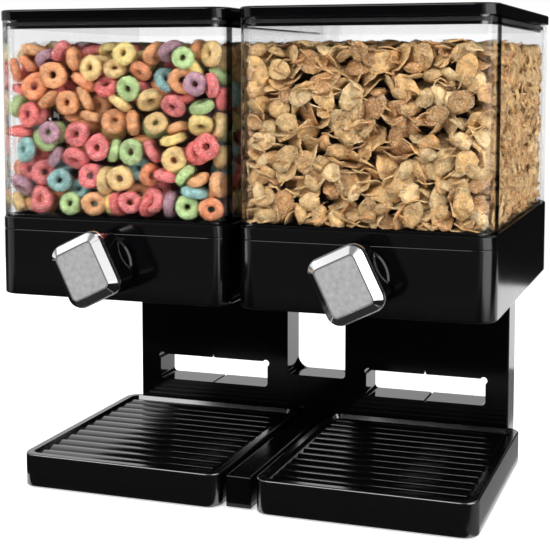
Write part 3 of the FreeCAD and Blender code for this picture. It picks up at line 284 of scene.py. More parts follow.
def grained_material(
    name,
    colour,
    mottle,
    roughness,
    spread,
    grain,
    height,
    metallic=0.0,
    shine=0.5,
    index=1.5,
    patches=45.0,
):
    """A material whose colour, gloss and bump come from the grain group in object coordinates.

    mottle is how light its patches are against the colour, spread how much the roughness varies,
    height the strength of the bump, and patches and grain are the two patterns' scales.
    """
    material, net, shader = shader_material(name)
    shader.inputs["Metallic"].default_value = metallic
    shader.inputs["Specular IOR Level"].default_value = shine
    shader.inputs["IOR"].default_value = index
    group = net.nodes.new("ShaderNodeGroup")
    group.node_tree = grain_group()
    net.link(net.add("TexCoord").outputs["Object"], group.inputs["Vector"])
    for socket, value in (
        ("Colour", (*colour, 1)),
        ("Mottle Colour", (*[min(1.0, part * mottle) for part in colour], 1)),
        ("Mottle Scale", patches),
        ("Roughness", roughness),
        ("Roughness Spread", spread),
        ("Grain Scale", grain),
        ("Grain Height", height),
    ):
        group.inputs[socket].default_value = value
    net.link(group.outputs["Colour"], shader.inputs["Base Color"])
    net.link(group.outputs["Roughness"], shader.inputs["Roughness"])
    net.link(group.outputs["Normal"], shader.inputs["Normal"])
    return material


def corner_mask(net, place, middle, half):
    """One at the outer end of a canister's two front corners, in object coordinates, where the clear plastic
    gets its painted shade.

    Each ease is in shares of the corner's radius, past the line where the corner's arc begins.
    """
    axes = net.add("SeparateXYZ", vector=place).outputs
    from_middle = net.combine("ABSOLUTE", axes["X"])

    def past_edge(value, centre, reach):
        away = net.combine("ABSOLUTE", net.combine("SUBTRACT", value, centre))
        return net.combine("SUBTRACT", away, reach - OUTER_CORNER)

    def share(value, low, high):
        return net.ease(value, low * OUTER_CORNER, high * OUTER_CORNER)

    at_side = share(past_edge(from_middle, abs(middle.x), half.x), 0.86, 0.95)
    at_end = share(past_edge(axes["Y"], middle.y, half.y), -0.3, -0.1)
    at_front = net.ease(axes["Y"], 0.0, -0.01)
    return net.combine("MULTIPLY", net.combine("MULTIPLY", at_side, at_end), at_front)


def clear_material(tint, corner, middle, half):
    """Clear polished plastic, with painted shade in its two front corners, that lets lamps shine on what is
    inside.
    """
    material, net, shader = shader_material("clear_plastic")
    shader.inputs["Transmission Weight"].default_value = 1.0
    shader.inputs["IOR"].default_value = 1.3
    place = net.add("TexCoord").outputs["Object"]
    haze = net.add("TexNoise", vector=place, scale=18.0)
    net.link(net.spread(haze.outputs["Fac"], 0.0, 0.04), shader.inputs["Roughness"])
    # Painted shade: the front corners turn near-black and opaque.
    painted_shade = corner_mask(net, place, middle, half)
    net.link(net.mix_colours((*tint, 1), (*corner, 1), painted_shade), shader.inputs["Base Color"])
    net.link(net.spread(painted_shade, 0.2, 1.0), shader.inputs["Alpha"])
    open_way = net.nodes.new("ShaderNodeBsdfTransparent")
    open_way.inputs["Color"].default_value = (0.96, 0.965, 0.97, 1)
    mix = net.nodes.new("ShaderNodeMixShader")
    net.link(net.add("LightPath").outputs["Is Shadow Ray"], mix.inputs["Fac"])
    net.link(shader.outputs["BSDF"], mix.inputs[1])
    net.link(open_way.outputs["BSDF"], mix.inputs[2])
    net.link(mix.outputs["Shader"], net.nodes["Material Output"].inputs["Surface"])
    return material


def cereal_material(name, grain_and_highlight, crumb_scale, crumb_height, blister_scale, blister_height, roughness):
    """Baked crumb: the piece's own colour attribute, with paler grains on the raised crumb, which are sugar
    on the rings and a painted highlight on the flakes, a rough crust and blisters.
    """
    material, net, shader = shader_material(name)
    shader.inputs["Roughness"].default_value = roughness
    shader.inputs["Specular IOR Level"].default_value = 0.3
    own = net.nodes.new("ShaderNodeAttribute")
    own.attribute_name = "crumb_colour"
    place = net.add("TexCoord").outputs["Object"]
    grains = net.add("TexNoise", vector=place, scale=crumb_scale, detail=4.0, roughness=0.65).outputs["Fac"]
    # Pale where the crumb is raised: sugar grains on the rings, a painted highlight on the flakes.
    mask = net.add("MapRange", value=grains, from_min=0.48, from_max=0.72, to_max=0.7)
    pale = net.mix_colours(own.outputs["Color"], (*grain_and_highlight, 1), mask.outputs["Result"])
    blotch = net.add("TexNoise", vector=place, scale=crumb_scale * 0.22).outputs["Fac"]
    dark = net.add("MapRange", value=blotch, from_min=0.35, from_max=0.65, to_min=0.66, to_max=1.08)
    shade = net.nodes.new("ShaderNodeVectorMath")
    shade.operation = "SCALE"
    net.link(pale, shade.inputs[0])
    net.link(dark.outputs["Result"], shade.inputs["Scale"])
    net.link(shade.outputs["Vector"], shader.inputs["Base Color"])
    blister = net.nodes.new("ShaderNodeTexVoronoi")
    blister.feature = "SMOOTH_F1"
    blister.inputs["Scale"].default_value = blister_scale
    net.link(place, blister.inputs["Vector"])
    swell = net.add("Bump", height=blister.outputs["Distance"], strength=blister_height, distance=0.0012)
    swell.invert = True
    bump = net.add(
        "Bump", height=grains, strength=crumb_height, distance=0.0006, normal=swell.outputs["Normal"]
    )
    net.link(bump.outputs["Normal"], shader.inputs["Normal"])
    return material


def finish_nodes(material, *names):
    """Gives CAD nodes their finish: a copy with smooth round faces and crisp edges stands for each."""
    for name in names:
        source = frame["nodes"][name]
        shape = bmesh.new()
        shape.from_mesh(source.data)
        bmesh.ops.remove_doubles(shape, verts=shape.verts, dist=SAME_POINT)
        bmesh.ops.dissolve_degenerate(shape, edges=shape.edges, dist=SAME_POINT / 10)
        for face in shape.faces:
            face.smooth = True
            face.material_index = 0
        for edge in shape.edges:
            edge.smooth = len(edge.link_faces) == 2 and edge.calc_face_angle(0.0) < CRISP_ANGLE
        piece = place_piece(shape, f"{name}_finish", material)
        weigh = piece.modifiers.new("even_normals", "WEIGHTED_NORMAL")
        weigh.keep_sharp = True
        weigh.weight = 80
        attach(piece, source["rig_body"])
        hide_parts(name)


def place_piece(shape, name, material):
    """Turns a bmesh into an object of the scene with its one material."""
    mesh = bpy.data.meshes.new(name)
    shape.to_mesh(mesh)
    shape.free()
    mesh.materials.clear()
    mesh.materials.append(material)
    piece = bpy.data.objects.new(name, mesh)
    bpy.context.scene.collection.objects.link(piece)
    return piece


# ------------------------------------------------------------ cereal shapes


RING_STEPS = 12
RING_SECTION = 6
FLAKE_SIDES = 10

# Metres: the radii that flakes are rolled to.
FLAKE_ROLLS = (0.007, 0.010, 0.014, 0.020, 0.030)


def ring_shape(settings, variant):
    """One puffed ring: a tube spun round, then made a little uneven."""
    pick = random.Random(settings.seed * 100 + variant)
    shape = bmesh.new()
    turn = Matrix.Translation((settings.radius, 0, 0)) @ Matrix.Rotation(math.pi / 2, 4, "X")
    section = bmesh.ops.create_circle(
        shape, segments=RING_SECTION, radius=settings.tube, matrix=turn
    )
    bmesh.ops.spin(
        shape,
        geom=shape.edges[:] + section["verts"],
        cent=(0, 0, 0),
        axis=(0, 0, 1),
        angle=math.tau,
        steps=RING_STEPS,
        use_merge=True,
    )
    bmesh.ops.remove_doubles(shape, verts=shape.verts, dist=SAME_POINT)
    bmesh.ops.recalc_face_normals(shape, faces=shape.faces)
    stretch = pick.uniform(0.0, 0.16)
    height = pick.uniform(1.0, 1.16)
    waves = [(pick.uniform(0, math.tau), pick.randint(2, 4), pick.uniform(0.02, 0.05)) for _ in range(2)]
    for vert in shape.verts:
        angle = math.atan2(vert.co.y, vert.co.x)
        swell = 1 + sum(size * math.sin(count * angle + start) for start, count, size in waves)
        vert.co.x *= swell * (1 + stretch)
        vert.co.y *= swell
        vert.co.z *= swell * height * pick.uniform(0.95, 1.05)
    return crumb_mesh(shape, "ring_cereal_shape", 0.0, settings.radius)


def flake_shape(settings, variant):
    """One toasted flake: an uneven disc, crinkled, rolled round a line, then given its thickness."""
    pick = random.Random(settings.seed * 100 + variant)
    shape = bmesh.new()
    bmesh.ops.create_circle(shape, cap_ends=True, segments=FLAKE_SIDES, radius=1.0)
    middle = shape.faces[:]
    bmesh.ops.inset_region(shape, faces=middle, thickness=0.42, use_boundary=True, use_even_offset=True)
    bmesh.ops.poke(shape, faces=middle)
    half = settings.length * pick.uniform(0.7, 1.15)
    across = settings.width * pick.uniform(0.75, 1.15)
    starts = [pick.uniform(0, math.tau) for _ in range(3)]
    crease = Vector((pick.uniform(0, 50), pick.uniform(0, 50), variant))
    cup = pick.uniform(-0.45, 0.45)
    roll = pick.choice(FLAKE_ROLLS) * pick.uniform(0.8, 1.2) * pick.choice((-1, 1))
    roll_way = Matrix.Rotation(pick.uniform(0, math.pi), 2)
    waves = list(zip((0.07, 0.05, 0.035), (2, 3, 5), starts))
    for vert in shape.verts:
        angle = math.atan2(vert.co.y, vert.co.x)
        rough = 1 + sum(size * math.sin(count * angle + start) for size, count, start in waves)
        rough += pick.uniform(-0.03, 0.03)
        flat = roll_way @ Vector((vert.co.x * rough * half, vert.co.y * rough * across))
        lift = cup * flat.length_squared / half
        lift += 0.0008 * noise.noise(crease + Vector((*flat, 0)) * 230)
        lift += 0.0005 * vert.co.length_squared * math.sin(4 * angle + starts[0])
        bend = flat.x / roll
        vert.co = Vector(((roll - lift) * math.sin(bend), flat.y, roll - (roll - lift) * math.cos(bend)))
    bmesh.ops.recalc_face_normals(shape, faces=shape.faces)
    bmesh.ops.solidify(shape, geom=shape.faces[:], thickness=settings.thickness)
    centre = sum((vert.co for vert in shape.verts), Vector()) / len(shape.verts)
    bmesh.ops.translate(shape, verts=shape.verts, vec=-centre)
    return crumb_mesh(shape, "flake_cereal_shape", pick.uniform(-0.1, 0.25), settings.length)


def crumb_mesh(shape, name, rim_darkening, reach):
    """Smooths one loose piece and marks how light each part of it is: darker towards the rim, where it is
    toasted, on most flakes, paler towards it on some, with a little random change.
    """
    light = shape.verts.layers.float.new("crumb_light")
    for vert in shape.verts:
        rim = min(1.0, vert.co.length / reach) ** 3
        vert[light] = 1.0 - rim_darkening * rim + 0.22 * noise.noise(vert.co * 320)
    for face in shape.faces:
        face.smooth = True
    mesh = bpy.data.meshes.new(name)
    shape.to_mesh(mesh)
    shape.free()
    return mesh


class Bin:
    """The space inside one canister, seen from above as a rounded rectangle."""

    # How often a piece is pushed off the walls. Metres: the gap it needs, and the one it is given.
    PUSHES = 6
    CLEARANCE = 0.0002
    PUSH_PAST = 0.0003

    def __init__(self, side):
        low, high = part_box(f"canister_{side}")
        self.centre = Vector(((low.x + high.x) / 2, (low.y + high.y) / 2, 0))
        self.half = Vector(((high.x - low.x) / 2 - WALL, (high.y - low.y) / 2 - WALL, 0))
        self.radius = INNER_CORNER
        self.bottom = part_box(f"funnel_{side}")[1].z
        self.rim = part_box(f"collar_{side}")[1].z

    def depth(self, x, y):
        """How far a place is from the nearest wall, and the way to that wall."""
        reach_x = abs(x) - (self.half.x - self.radius)
        reach_y = abs(y) - (self.half.y - self.radius)
        if reach_x > 0 and reach_y > 0:
            corner = math.hypot(reach_x, reach_y)
            way = Vector((math.copysign(reach_x, x), math.copysign(reach_y, y), 0)) / corner
            return self.radius - corner, way
        if reach_x > reach_y:
            return self.radius - reach_x, Vector((math.copysign(1, x), 0, 0))
        return self.radius - reach_y, Vector((0, math.copysign(1, y), 0))

    def push_in(self, points):
        """The move that brings all the points inside the walls, or None where they don't fit."""
        move = np.zeros(3)
        flat = self.half.x - self.radius, self.half.y - self.radius
        for _ in range(self.PUSHES):
            spread = points[:, :2] + move[:2]
            reach = np.abs(spread) - flat
            outside = np.linalg.norm(np.maximum(reach, 0), axis=1)
            past = outside + np.minimum(reach.max(axis=1), 0) - self.radius
            worst = past.argmax()
            if past[worst] < -self.CLEARANCE:
                return move
            way = np.maximum(reach[worst], 0)
            if not way.any():
                way = (reach[worst] == reach[worst].max()).astype(float)
            way *= np.sign(spread[worst]) / np.linalg.norm(way)
            move[:2] -= way * (past[worst] + self.PUSH_PAST)
        return None

    def on_wall(self, pick, inset):
        """A place at a distance from the wall, evenly spread round the canister."""
        width = 2 * (self.half.x - inset)
        depth = 2 * (self.half.y - inset)
        along = pick.uniform(0, 2 * (width + depth))
        if along < width:
            return along - width / 2, -depth / 2
        along -= width
        if along < depth:
            return width / 2, along - depth / 2
        along -= depth
        if along < width:
            return along - width / 2, depth / 2
        return -width / 2, along - width - depth / 2


def lean(pick, way, spread):
    """A direction that leans off another by up to an angle."""
    side = Vector((pick.gauss(0, 1), pick.gauss(0, 1), pick.gauss(0, 1)))
    side -= side.project(way)
    side.normalize()
    angle = pick.uniform(0, spread)
    return (way * math.cos(angle) + side * math.sin(angle)).normalized()


# Metres: how far in from the walls the top layer stays, and how far in pieces rest on the collar.
TOP_MARGIN = 0.005
COLLAR_WIDTH = 0.016


def tumble(space, shapes, marks, layers, fill_level, pick):
    """Places for loose pieces against the walls and on top.

    A new piece is kept where it is inside the walls and its marks, a few points on it, stay a gap
    away from those of its neighbours. Each layer gives where it is, a range of depths, the gap,
    how far the pieces lean, and how many are tried. Pieces on the "wall" lean off it, "lying" ones
    are at the wall too but lean off the level, and those at the "top" are at the heap's top.
    """
    skins = [np.array([tuple(vert.co) for vert in shape.vertices]) for shape in shapes]
    reach = 2.05 * max(np.linalg.norm(skin, axis=1).max() for skin in skins)
    centres = np.empty((0, 3))
    taken = np.empty((0, *marks[0].shape))
    placed = []
    for where, nearest, deepest, gap, spread, tries in layers:
        for _ in range(tries):
            kind = pick.randrange(len(shapes))
            size = pick.uniform(0.9, 1.1)
            if where == "top":
                x = pick.uniform(-1, 1) * (space.half.x - TOP_MARGIN)
                y = pick.uniform(-1, 1) * (space.half.y - TOP_MARGIN)
                z = fill_level - pick.uniform(nearest, deepest)
                face_way = Vector((0, 0, 1))
            else:
                x, y = space.on_wall(pick, pick.uniform(nearest, deepest))
                z = pick.uniform(space.bottom - 0.01, fill_level)
                face_way = Vector((0, 0, 1)) if where == "lying" else space.depth(x, y)[1]
            axis = lean(pick, face_way, spread)
            spin = Matrix.Rotation(pick.uniform(0, math.tau), 3, "Z")
            turn = axis.to_track_quat("Z", "Y") @ spin.to_quaternion()
            spun = skins[kind] * size @ np.array(turn.to_matrix()).T
            move = space.push_in(spun + (x, y, 0))
            if move is None:
                continue
            x, y = x + move[0], y + move[1]
            low = space.rim + 0.0003 if space.depth(x, y)[0] < COLLAR_WIDTH else space.bottom + 0.001
            z = max(z, low - spun[:, 2].min())
            if z + spun[:, 2].max() > fill_level:
                continue
            centre = np.array((x, y, z))
            mark = marks[kind] * size @ np.array(turn.to_matrix()).T + centre
            if len(placed):
                near = np.abs(centres - centre).max(axis=1) < reach
                others = taken[near].reshape(-1, 1, 3)
                if len(others) and ((others - mark[None]) ** 2).sum(axis=2).min() < gap * gap:
                    continue
            centres = np.vstack([centres, centre])
            taken = np.vstack([taken, mark[None]])
            move = Matrix.Translation(Vector(centre) + space.centre)
            placed.append((kind, move @ turn.to_matrix().to_4x4() @ Matrix.Scale(size, 4)))
    return placed


def scatter(name, shapes, placed, colours, darkest, pick, material):
    """Joins many small pieces into one, each with its own colour."""
    heap = bmesh.new()
    for kind, place in placed:
        crumb = shapes[kind].copy()
        crumb.transform(place)
        light = np.empty(len(crumb.vertices), dtype=np.float32)
        crumb.attributes["crumb_light"].data.foreach_get("value", light)
        tone = np.array(pick.choice(colours)) * pick.uniform(darkest, 1.12)
        shades = np.ones((len(light), 4), dtype=np.float32)
        shades[:, :3] = np.minimum(1.0, light[:, None] * tone)
        colour = crumb.attributes.new("crumb_colour", "FLOAT_COLOR", "POINT")
        colour.data.foreach_set("color", shades.ravel())
        heap.from_mesh(crumb)
        bpy.data.meshes.remove(crumb)
    return place_piece(heap, name, material)


def filling_core(name, space, inset, top, colour):
    """A plain block in painted shade: its dark colour stands for the cereal in the middle of the heap, where
    no light reaches.
    """
    shape = bmesh.new()
    bmesh.ops.create_cube(shape, size=1.0)
    low = space.bottom + 0.0005
    size = Vector((2 * (space.half.x - inset), 2 * (space.half.y - inset), top - low))
    middle = space.centre + Vector((0, 0, (top + low) / 2))
    fit = Matrix.Translation(middle) @ Matrix.Diagonal((*size, 1))
    bmesh.ops.transform(shape, matrix=fit, verts=shape.verts)
    bmesh.ops.bevel(
        shape, geom=shape.edges[:], offset=0.006, segments=2, affect="EDGES", profile=0.5, material=-1
    )
    shade = grained_material(
        name.replace("core", "shade"),
        colour,
        mottle=2.0,
        roughness=0.9,
        spread=0.05,
        grain=300.0,
        height=0.5,
    )
    return place_piece(shape, name, shade)


# ---------------------------------------------------------------- operators


class DISPENSER_OT_stage(bpy.types.Operator):
    """Makes the pale floor, the soft lamps, the world and the camera"""

    bl_idname = "dispenser.stage"
    bl_label = "Stage"

    # Name, place, size, and whether shiny parts mirror it. Its power is a setting.
    LAMPS = (
        ("key", (-0.55, -1.25, 1.35), (1.3, 1.0), True),
        ("back", (0.1, 1.3, 0.85), (1.3, 1.0), False),
        ("right", (1.0, -0.32, 0.5), (0.9, 1.2), True),
        ("left", (-1.0, -0.46, 0.5), (0.9, 1.2), True),
    )
    LAMPS_AIM = Vector((0, 0, 0.16))

    # Metres: how high the cards for mirrored rays lie over the floor.
    FLAG_LIFT = 0.0005

    # Where each zone of the mirrored room starts and where it is full, on one axis of the ray.
    HIGH = ("Z", 0.35, 0.7)
    STRAIGHT_UP = ("Z", 0.82, 0.92)
    BEHIND = ("Y", 0.0, 0.35)
    ABOVE_FLOOR = ("Z", -0.11, -0.05)
    LEFTWARDS = ("X", 0.04, -0.10)
    WINDOW_RIGHT = ("X", 0.45, 0.7)
    WINDOW_FRONT = ("Y", 0.1, -0.15)
    OVER_HORIZON = ("Z", -0.05, 0.05)
    IN_FRONT = ("Y", 0.5, -0.2)

    def execute(self, context):
        scene = context.scene
        settings = scene.dispenser_stage
        scene.view_settings.view_transform = "Standard"
        self.make_floor(settings)
        self.make_world(scene, settings)
        for name, place, size, mirrored in self.LAMPS:
            lamp = self.make_lamp(f"{name}_lamp", place, size, getattr(settings, f"{name}_light"))
            lamp.visible_glossy = mirrored
        self.make_flags()
        self.make_camera(scene, settings)
        return {"FINISHED"}

    def seen_rays(self, net):
        """One for rays that show the room: to the camera, mirrored, or through clear walls."""
        rays = net.add("LightPath").outputs
        either = net.combine("MAXIMUM", rays["Is Camera Ray"], rays["Is Glossy Ray"])
        any_of = net.combine("MAXIMUM", either, rays["Is Transmission Ray"])
        first = net.combine("LESS_THAN", rays["Diffuse Depth"], 0.5)
        return net.combine("MULTIPLY", any_of, first)

    def make_floor(self, settings):
        """A pale floor that looks white to the camera but lights the object only a little."""
        shape = bmesh.new()
        bmesh.ops.create_grid(shape, x_segments=1, y_segments=1, size=settings.floor_size / 2)
        material, net, shader = shader_material("pale_floor")
        shader.inputs["Base Color"].default_value = (*settings.floor_colour, 1)
        shader.inputs["Roughness"].default_value = 0.9
        shader.inputs["Specular IOR Level"].default_value = 0.0
        shader.inputs["Emission Color"].default_value = (1, 1, 1, 1)
        glow = net.combine("MULTIPLY", self.seen_rays(net), settings.floor_glow)
        net.link(glow, shader.inputs["Emission Strength"])
        place_piece(shape, "floor", material)

    def make_flags(self):
        """Dark and grey cards on the floor, only for mirrored rays, keep the gloss deep black: they are
        painted reflections, and the grey ones glow.
        """
        low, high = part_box("tray_left")[0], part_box("tray_right")[1]
        for name, shine, size, middle in (
            ("near_flag", 0.02, (1.6, 0.075), (0, low.y - 0.0395)),
            ("front_flag", 0.0, (1.6, 0.62), (0, low.y - 0.388)),
            ("left_flag", 0.0, (0.6, 0.7), (low.x - 0.32, 0.25)),
            ("right_flag", 0.3, (0.6, 0.45), (high.x + 0.302, 0.125)),
        ):
            material, _, shader = shader_material(name)
            shader.inputs["Base Color"].default_value = (0.01, 0.01, 0.01, 1)
            shader.inputs["Roughness"].default_value = 1.0
            shader.inputs["Specular IOR Level"].default_value = 0.0
            shader.inputs["Emission Color"].default_value = (1, 1, 1, 1)
            # Painted reflection: the near and right cards glow faintly grey.
            shader.inputs["Emission Strength"].default_value = shine
            shape = bmesh.new()
            bmesh.ops.create_grid(shape, x_segments=1, y_segments=1, size=0.5)
            bmesh.ops.scale(shape, vec=(*size, 1), verts=shape.verts)
            bmesh.ops.translate(shape, vec=(*middle, self.FLAG_LIFT), verts=shape.verts)
            flag = place_piece(shape, name, material)
            flag.visible_camera = False
            flag.visible_diffuse = False
            flag.visible_transmission = False
            flag.visible_shadow = False

    def make_world(self, scene, settings):
        """Even light that is seen as white, and a room that only mirrored rays see.

        It is white high up, behind on the left and in a window on the right, and dark elsewhere.
        """
        world = bpy.data.worlds.new("soft_studio")
        scene.world = world
        world.use_nodes = True
        net = ShaderNet(world.node_tree)
        light = net.nodes["Background"]
        light.inputs["Color"].default_value = (1, 1, 1, 1)
        light.inputs["Strength"].default_value = settings.world_light
        way = net.add("SeparateXYZ", vector=net.add("TexCoord").outputs["Generated"]).outputs

        def zone(axis, low, high):
            return net.ease(way[axis], low, high)

        overhead = net.blend(zone(*self.HIGH), settings.room_top, zone(*self.STRAIGHT_UP))
        wall = net.combine("MULTIPLY", zone(*self.BEHIND), zone(*self.ABOVE_FLOOR))
        wall = net.combine("MULTIPLY", wall, zone(*self.LEFTWARDS))
        window = net.combine("MULTIPLY", zone(*self.WINDOW_RIGHT), zone(*self.WINDOW_FRONT))
        white = net.combine("MAXIMUM", net.combine("MAXIMUM", overhead, wall), window)
        front = net.blend(settings.room_front, settings.room_high, zone(*self.OVER_HORIZON))
        dark = net.blend(settings.room_back, front, zone(*self.IN_FRONT))
        room = net.blend(dark, 1.0, white)
        mirrored = net.combine("GREATER_THAN", net.add("LightPath").outputs["Glossy Depth"], 0.5)
        backdrop = net.nodes.new("ShaderNodeBackground")
        backdrop.inputs["Color"].default_value = (1, 1, 1, 1)
        net.link(net.blend(1.0, room, mirrored), backdrop.inputs["Strength"])
        mix = net.nodes.new("ShaderNodeMixShader")
        net.link(self.seen_rays(net), mix.inputs["Fac"])
        net.link(light.outputs["Background"], mix.inputs[1])
        net.link(backdrop.outputs["Background"], mix.inputs[2])
        net.link(mix.outputs["Shader"], net.nodes["World Output"].inputs["Surface"])

    def make_lamp(self, name, place, size, power):
        lamp = bpy.data.lights.new(name, "AREA")
        lamp.shape = "RECTANGLE"
        lamp.size, lamp.size_y = size
        lamp.energy = power
        holder = bpy.data.objects.new(name, lamp)
        holder.location = place
        holder.rotation_euler = (self.LAMPS_AIM - holder.location).to_track_quat("-Z", "Y").to_euler()
        holder.visible_camera = False
        bpy.context.scene.collection.objects.link(holder)
        return holder

    def make_camera(self, scene, settings):
        lens = bpy.data.cameras.new("camera")
        lens.lens = settings.camera_lens
        lens.shift_y = settings.camera_shift
        camera = bpy.data.objects.new("camera", lens)
        camera.location = settings.camera_place
        camera.rotation_euler = (math.pi / 2 - settings.camera_tilt, 0, settings.camera_turn)
        scene.collection.objects.link(camera)
        scene.camera = camera


class DISPENSER_OT_black_mouldings(bpy.types.Operator):
    """Finishes the black mouldings: shiny outside, satin inside"""

    bl_idname = "dispenser.black_mouldings"
    bl_label = "Black mouldings"

    def execute(self, context):
        plastic = context.scene.dispenser_plastic
        gloss = grained_material(
            "gloss_black_plastic",
            plastic.black,
            mottle=1.7,
            roughness=plastic.gloss_roughness,
            spread=0.06,
            grain=160.0,
            height=0.012,
            shine=plastic.shine,
        )
        tray_gloss = grained_material(
            "tray_black_plastic",
            plastic.black,
            mottle=1.7,
            roughness=0.12,
            spread=0.08,
            grain=160.0,
            height=0.02,
            shine=0.85,
            index=1.7,
        )
        plug_gloss = grained_material(
            "plug_black_plastic",
            plastic.black,
            mottle=1.7,
            roughness=0.01,
            spread=0.03,
            grain=160.0,
            height=0.0,
            shine=1.0,
        )
        satin = grained_material(
            "satin_black_plastic",
            [part * 3 for part in plastic.black],
            mottle=1.4,
            roughness=plastic.satin_roughness,
            spread=0.12,
            grain=900.0,
            height=0.12,
        )
        shiny = ["stand_shell", "stand_back", "base_bar"]
        hidden = []
        for side in SIDES:
            shiny += [f"{part}_{side}" for part in ("housing", "collar", "lid", "hub_bush")]
            hidden += [f"{part}_{side}" for part in ("funnel", "wheel_trough", "hub_nut", "rear_bush")]
        finish_nodes(gloss, *shiny)
        finish_nodes(tray_gloss, *[f"tray_{side}" for side in SIDES])
        finish_nodes(plug_gloss, *[f"lid_plug_{side}" for side in SIDES])
        finish_nodes(satin, *hidden)
        return {"FINISHED"}


class DISPENSER_OT_clear_canisters(bpy.types.Operator):
    """Finishes the clear canisters"""

    bl_idname = "dispenser.clear_canisters"
    bl_label = "Clear canisters"

    def execute(self, context):
        plastic = context.scene.dispenser_plastic
        low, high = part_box("canister_right")
        material = clear_material(
            plastic.clear_tint, plastic.painted_corner_shade, (low + high) / 2, (high - low) / 2
        )
        finish_nodes(material, *[f"canister_{side}" for side in SIDES])
        return {"FINISHED"}


class DISPENSER_OT_knobs(bpy.types.Operator):
    """Finishes the plated knobs and their satin faces"""

    bl_idname = "dispenser.knobs"
    bl_label = "Knobs"

    def execute(self, context):
        metal = context.scene.dispenser_metal
        chrome = grained_material(
            "plated_chrome",
            metal.chrome,
            mottle=0.96,
            roughness=metal.chrome_roughness,
            spread=0.05,
            grain=220.0,
            height=0.008,
            metallic=1.0,
        )
        face = grained_material(
            "satin_knob_face",
            metal.face,
            mottle=0.45,
            roughness=0.36,
            spread=0.2,
            grain=1500.0,
            height=0.25,
            metallic=0.35,
            patches=330.0,
        )
        finish_nodes(chrome, *[f"knob_{side}" for side in SIDES])
        finish_nodes(face, *[f"knob_face_{side}" for side in SIDES])
        return {"FINISHED"}


class DISPENSER_OT_hidden_works(bpy.types.Operator):
    """Finishes the wheels, seals, feet, shafts, clips and screws"""

    bl_idname = "dispenser.hidden_works"
    bl_label = "Wheels, seals, feet and fasteners"

    def execute(self, context):
        soft = context.scene.dispenser_soft
        metal = context.scene.dispenser_metal
        silicone = grained_material(
            "grey_silicone",
            soft.silicone,
            mottle=1.2,
            roughness=0.5,
            spread=0.15,
            grain=700.0,
            height=0.1,
        )
        rubber = grained_material(
            "black_rubber",
            soft.rubber,
            mottle=1.5,
            roughness=0.75,
            spread=0.15,
            grain=1200.0,
            height=0.3,
            shine=0.3,
        )
        steel = grained_material(
            "brushed_steel",
            metal.steel,
            mottle=1.15,
            roughness=0.3,
            spread=0.15,
            grain=1500.0,
            height=0.06,
            metallic=1.0,
        )
        feet_and_seals = [f"{part}_{side}" for part in ("tray_feet", "lid_seal") for side in SIDES]
        shafts = [f"{part}_{side}" for part in ("drive_shaft", "shaft_clip") for side in SIDES]
        finish_nodes(silicone, *[f"paddle_wheel_{side}" for side in SIDES])
        finish_nodes(rubber, "stand_feet", *feet_and_seals)
        finish_nodes(steel, *shafts)
        finish_nodes(steel, "housing_screws", "stand_screws", "bar_screws", "trough_screws")
        return {"FINISHED"}


class DISPENSER_OT_ring_cereal(bpy.types.Operator):
    """Fills the left canister with fruit-coloured rings"""

    bl_idname = "dispenser.ring_cereal"
    bl_label = "Ring cereal"

    COLOURS = (
        (0.88, 0.135, 0.13),
        (0.86, 0.17, 0.18),
        (0.88, 0.35, 0.12),
        (0.90, 0.42, 0.16),
        (0.90, 0.28, 0.10),
        (0.91, 0.69, 0.22),
        (0.90, 0.60, 0.22),
        (0.48, 0.70, 0.27),
        (0.25, 0.52, 0.50),
        (0.46, 0.23, 0.31),
    )

    def execute(self, context):
        settings = context.scene.dispenser_rings
        pick = random.Random(settings.seed)
        space = Bin(RING_SIDE)
        shapes = [ring_shape(settings, variant) for variant in range(8)]
        turns = [math.tau * step / RING_STEPS for step in range(RING_STEPS)]
        line = np.array([(math.cos(turn), math.sin(turn), 0) for turn in turns])
        line *= settings.radius * 1.05
        gap = settings.tube * 2
        steep = math.radians(90)
        # Where, nearest and deepest place, gap, lean and tries.
        layers = (
            ("wall", 0.0, 0.0, gap * 0.97, math.radians(35), 260),
            ("wall", 0.0, 0.0, gap * 0.92, steep, 9000),
            ("top", 0.001, 0.010, gap * 0.92, steep, 3000),
            ("wall", 0.0, 0.005, gap * 0.76, steep, 8000),
            ("wall", 0.004, 0.009, gap * 0.72, steep, 8000),
            ("wall", 0.009, 0.015, gap * 0.68, steep, 6000),
            ("top", 0.008, 0.016, gap * 0.72, steep, 2000),
        )
        placed = tumble(space, shapes, [line] * len(shapes), layers, settings.fill_level, pick)
        crumb = cereal_material(
            "sugared_ring",
            grain_and_highlight=(0.92, 0.84, 0.72),
            crumb_scale=1100.0,
            crumb_height=0.9,
            blister_scale=480.0,
            blister_height=0.3,
            roughness=0.6,
        )
        heap = scatter("ring_cereal", shapes, placed, self.COLOURS, 0.80, pick, crumb)
        top = settings.fill_level - 0.018
        # The core's near-black colour is painted shade for the rings deep in the heap.
        core = filling_core("ring_cereal_core", space, 0.021, top, (0.03, 0.012, 0.007))
        for piece in (heap, core):
            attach(piece, f"hopper_{RING_SIDE}")
        return {"FINISHED"}


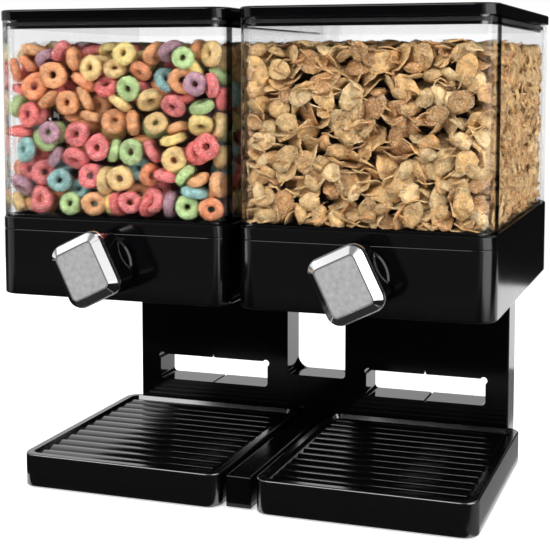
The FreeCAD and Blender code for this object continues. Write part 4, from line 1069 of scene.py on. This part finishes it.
class DISPENSER_OT_flake_cereal(bpy.types.Operator):
    """Fills the right canister with toasted flakes"""

    bl_idname = "dispenser.flake_cereal"
    bl_label = "Flake cereal"

    COLOURS = (
        (0.74, 0.42, 0.15),
        (0.80, 0.50, 0.20),
        (0.64, 0.33, 0.11),
        (0.88, 0.60, 0.28),
        (0.56, 0.26, 0.08),
        (0.78, 0.46, 0.17),
    )

    def execute(self, context):
        settings = context.scene.dispenser_flakes
        pick = random.Random(settings.seed)
        space = Bin(FLAKE_SIDE)
        shapes = [flake_shape(settings, variant) for variant in range(20)]
        steep = math.radians(80)
        # Where, nearest and deepest place, gap, lean and tries.
        layers = (
            ("wall", 0.0, 0.0, 0.0022, math.radians(50), 1800),
            ("lying", 0.0, 0.0, 0.0018, math.radians(70), 5500),
            ("wall", 0.0, 0.003, 0.0018, steep, 4500),
            ("top", 0.001, 0.009, 0.0020, math.radians(50), 3500),
            ("wall", 0.004, 0.009, 0.0020, math.radians(70), 3000),
            ("wall", 0.009, 0.015, 0.0023, steep, 1200),
        )
        marks = [np.array([tuple(vert.co) for vert in shape.vertices])[::5] for shape in shapes]
        placed = tumble(space, shapes, marks, layers, settings.fill_level, pick)
        crumb = cereal_material(
            "toasted_flake",
            # Painted highlight: this pale colour on the raised crumb stands for light on the flakes' bumps.
            grain_and_highlight=(1.0, 0.88, 0.66),
            crumb_scale=900.0,
            crumb_height=1.0,
            blister_scale=560.0,
            blister_height=0.95,
            roughness=0.42,
        )
        heap = scatter("flake_cereal", shapes, placed, self.COLOURS, 0.72, pick, crumb)
        top = settings.fill_level - 0.014
        # The core's near-black colour is painted shade for the flakes deep in the heap.
        core = filling_core("flake_cereal_core", space, 0.020, top, (0.03, 0.015, 0.006))
        for piece in (heap, core):
            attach(piece, f"hopper_{FLAKE_SIDE}")
        return {"FINISHED"}


OPERATORS = (
    DISPENSER_OT_stage,
    DISPENSER_OT_black_mouldings,
    DISPENSER_OT_clear_canisters,
    DISPENSER_OT_knobs,
    DISPENSER_OT_hidden_works,
    DISPENSER_OT_ring_cereal,
    DISPENSER_OT_flake_cereal,
)


class DISPENSER_PT_sidebar(bpy.types.Panel):
    """Lists the dispenser's operators"""

    bl_idname = "DISPENSER_PT_sidebar"
    bl_label = "Dispenser"
    bl_space_type = "VIEW_3D"
    bl_region_type = "UI"
    bl_category = "Dispenser"

    def draw(self, context):
        for operator in OPERATORS:
            self.layout.operator(operator.bl_idname)


def register():
    for name, group in SETTINGS.items():
        bpy.utils.register_class(group)
        setattr(bpy.types.Scene, name, PointerProperty(type=group))
    for operator in OPERATORS:
        bpy.utils.register_class(operator)
    bpy.utils.register_class(DISPENSER_PT_sidebar)


def unregister():
    bpy.utils.unregister_class(DISPENSER_PT_sidebar)
    for operator in reversed(OPERATORS):
        bpy.utils.unregister_class(operator)
    for name, group in reversed(SETTINGS.items()):
        delattr(bpy.types.Scene, name)
        bpy.utils.unregister_class(group)


def main():
    register()
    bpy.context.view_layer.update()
    bpy.ops.dispenser.stage()
    bpy.ops.dispenser.black_mouldings()
    bpy.ops.dispenser.clear_canisters()
    bpy.ops.dispenser.knobs()
    bpy.ops.dispenser.hidden_works()
    bpy.ops.dispenser.ring_cereal()
    bpy.ops.dispenser.flake_cereal()


if __name__ == "__main__":
    main()
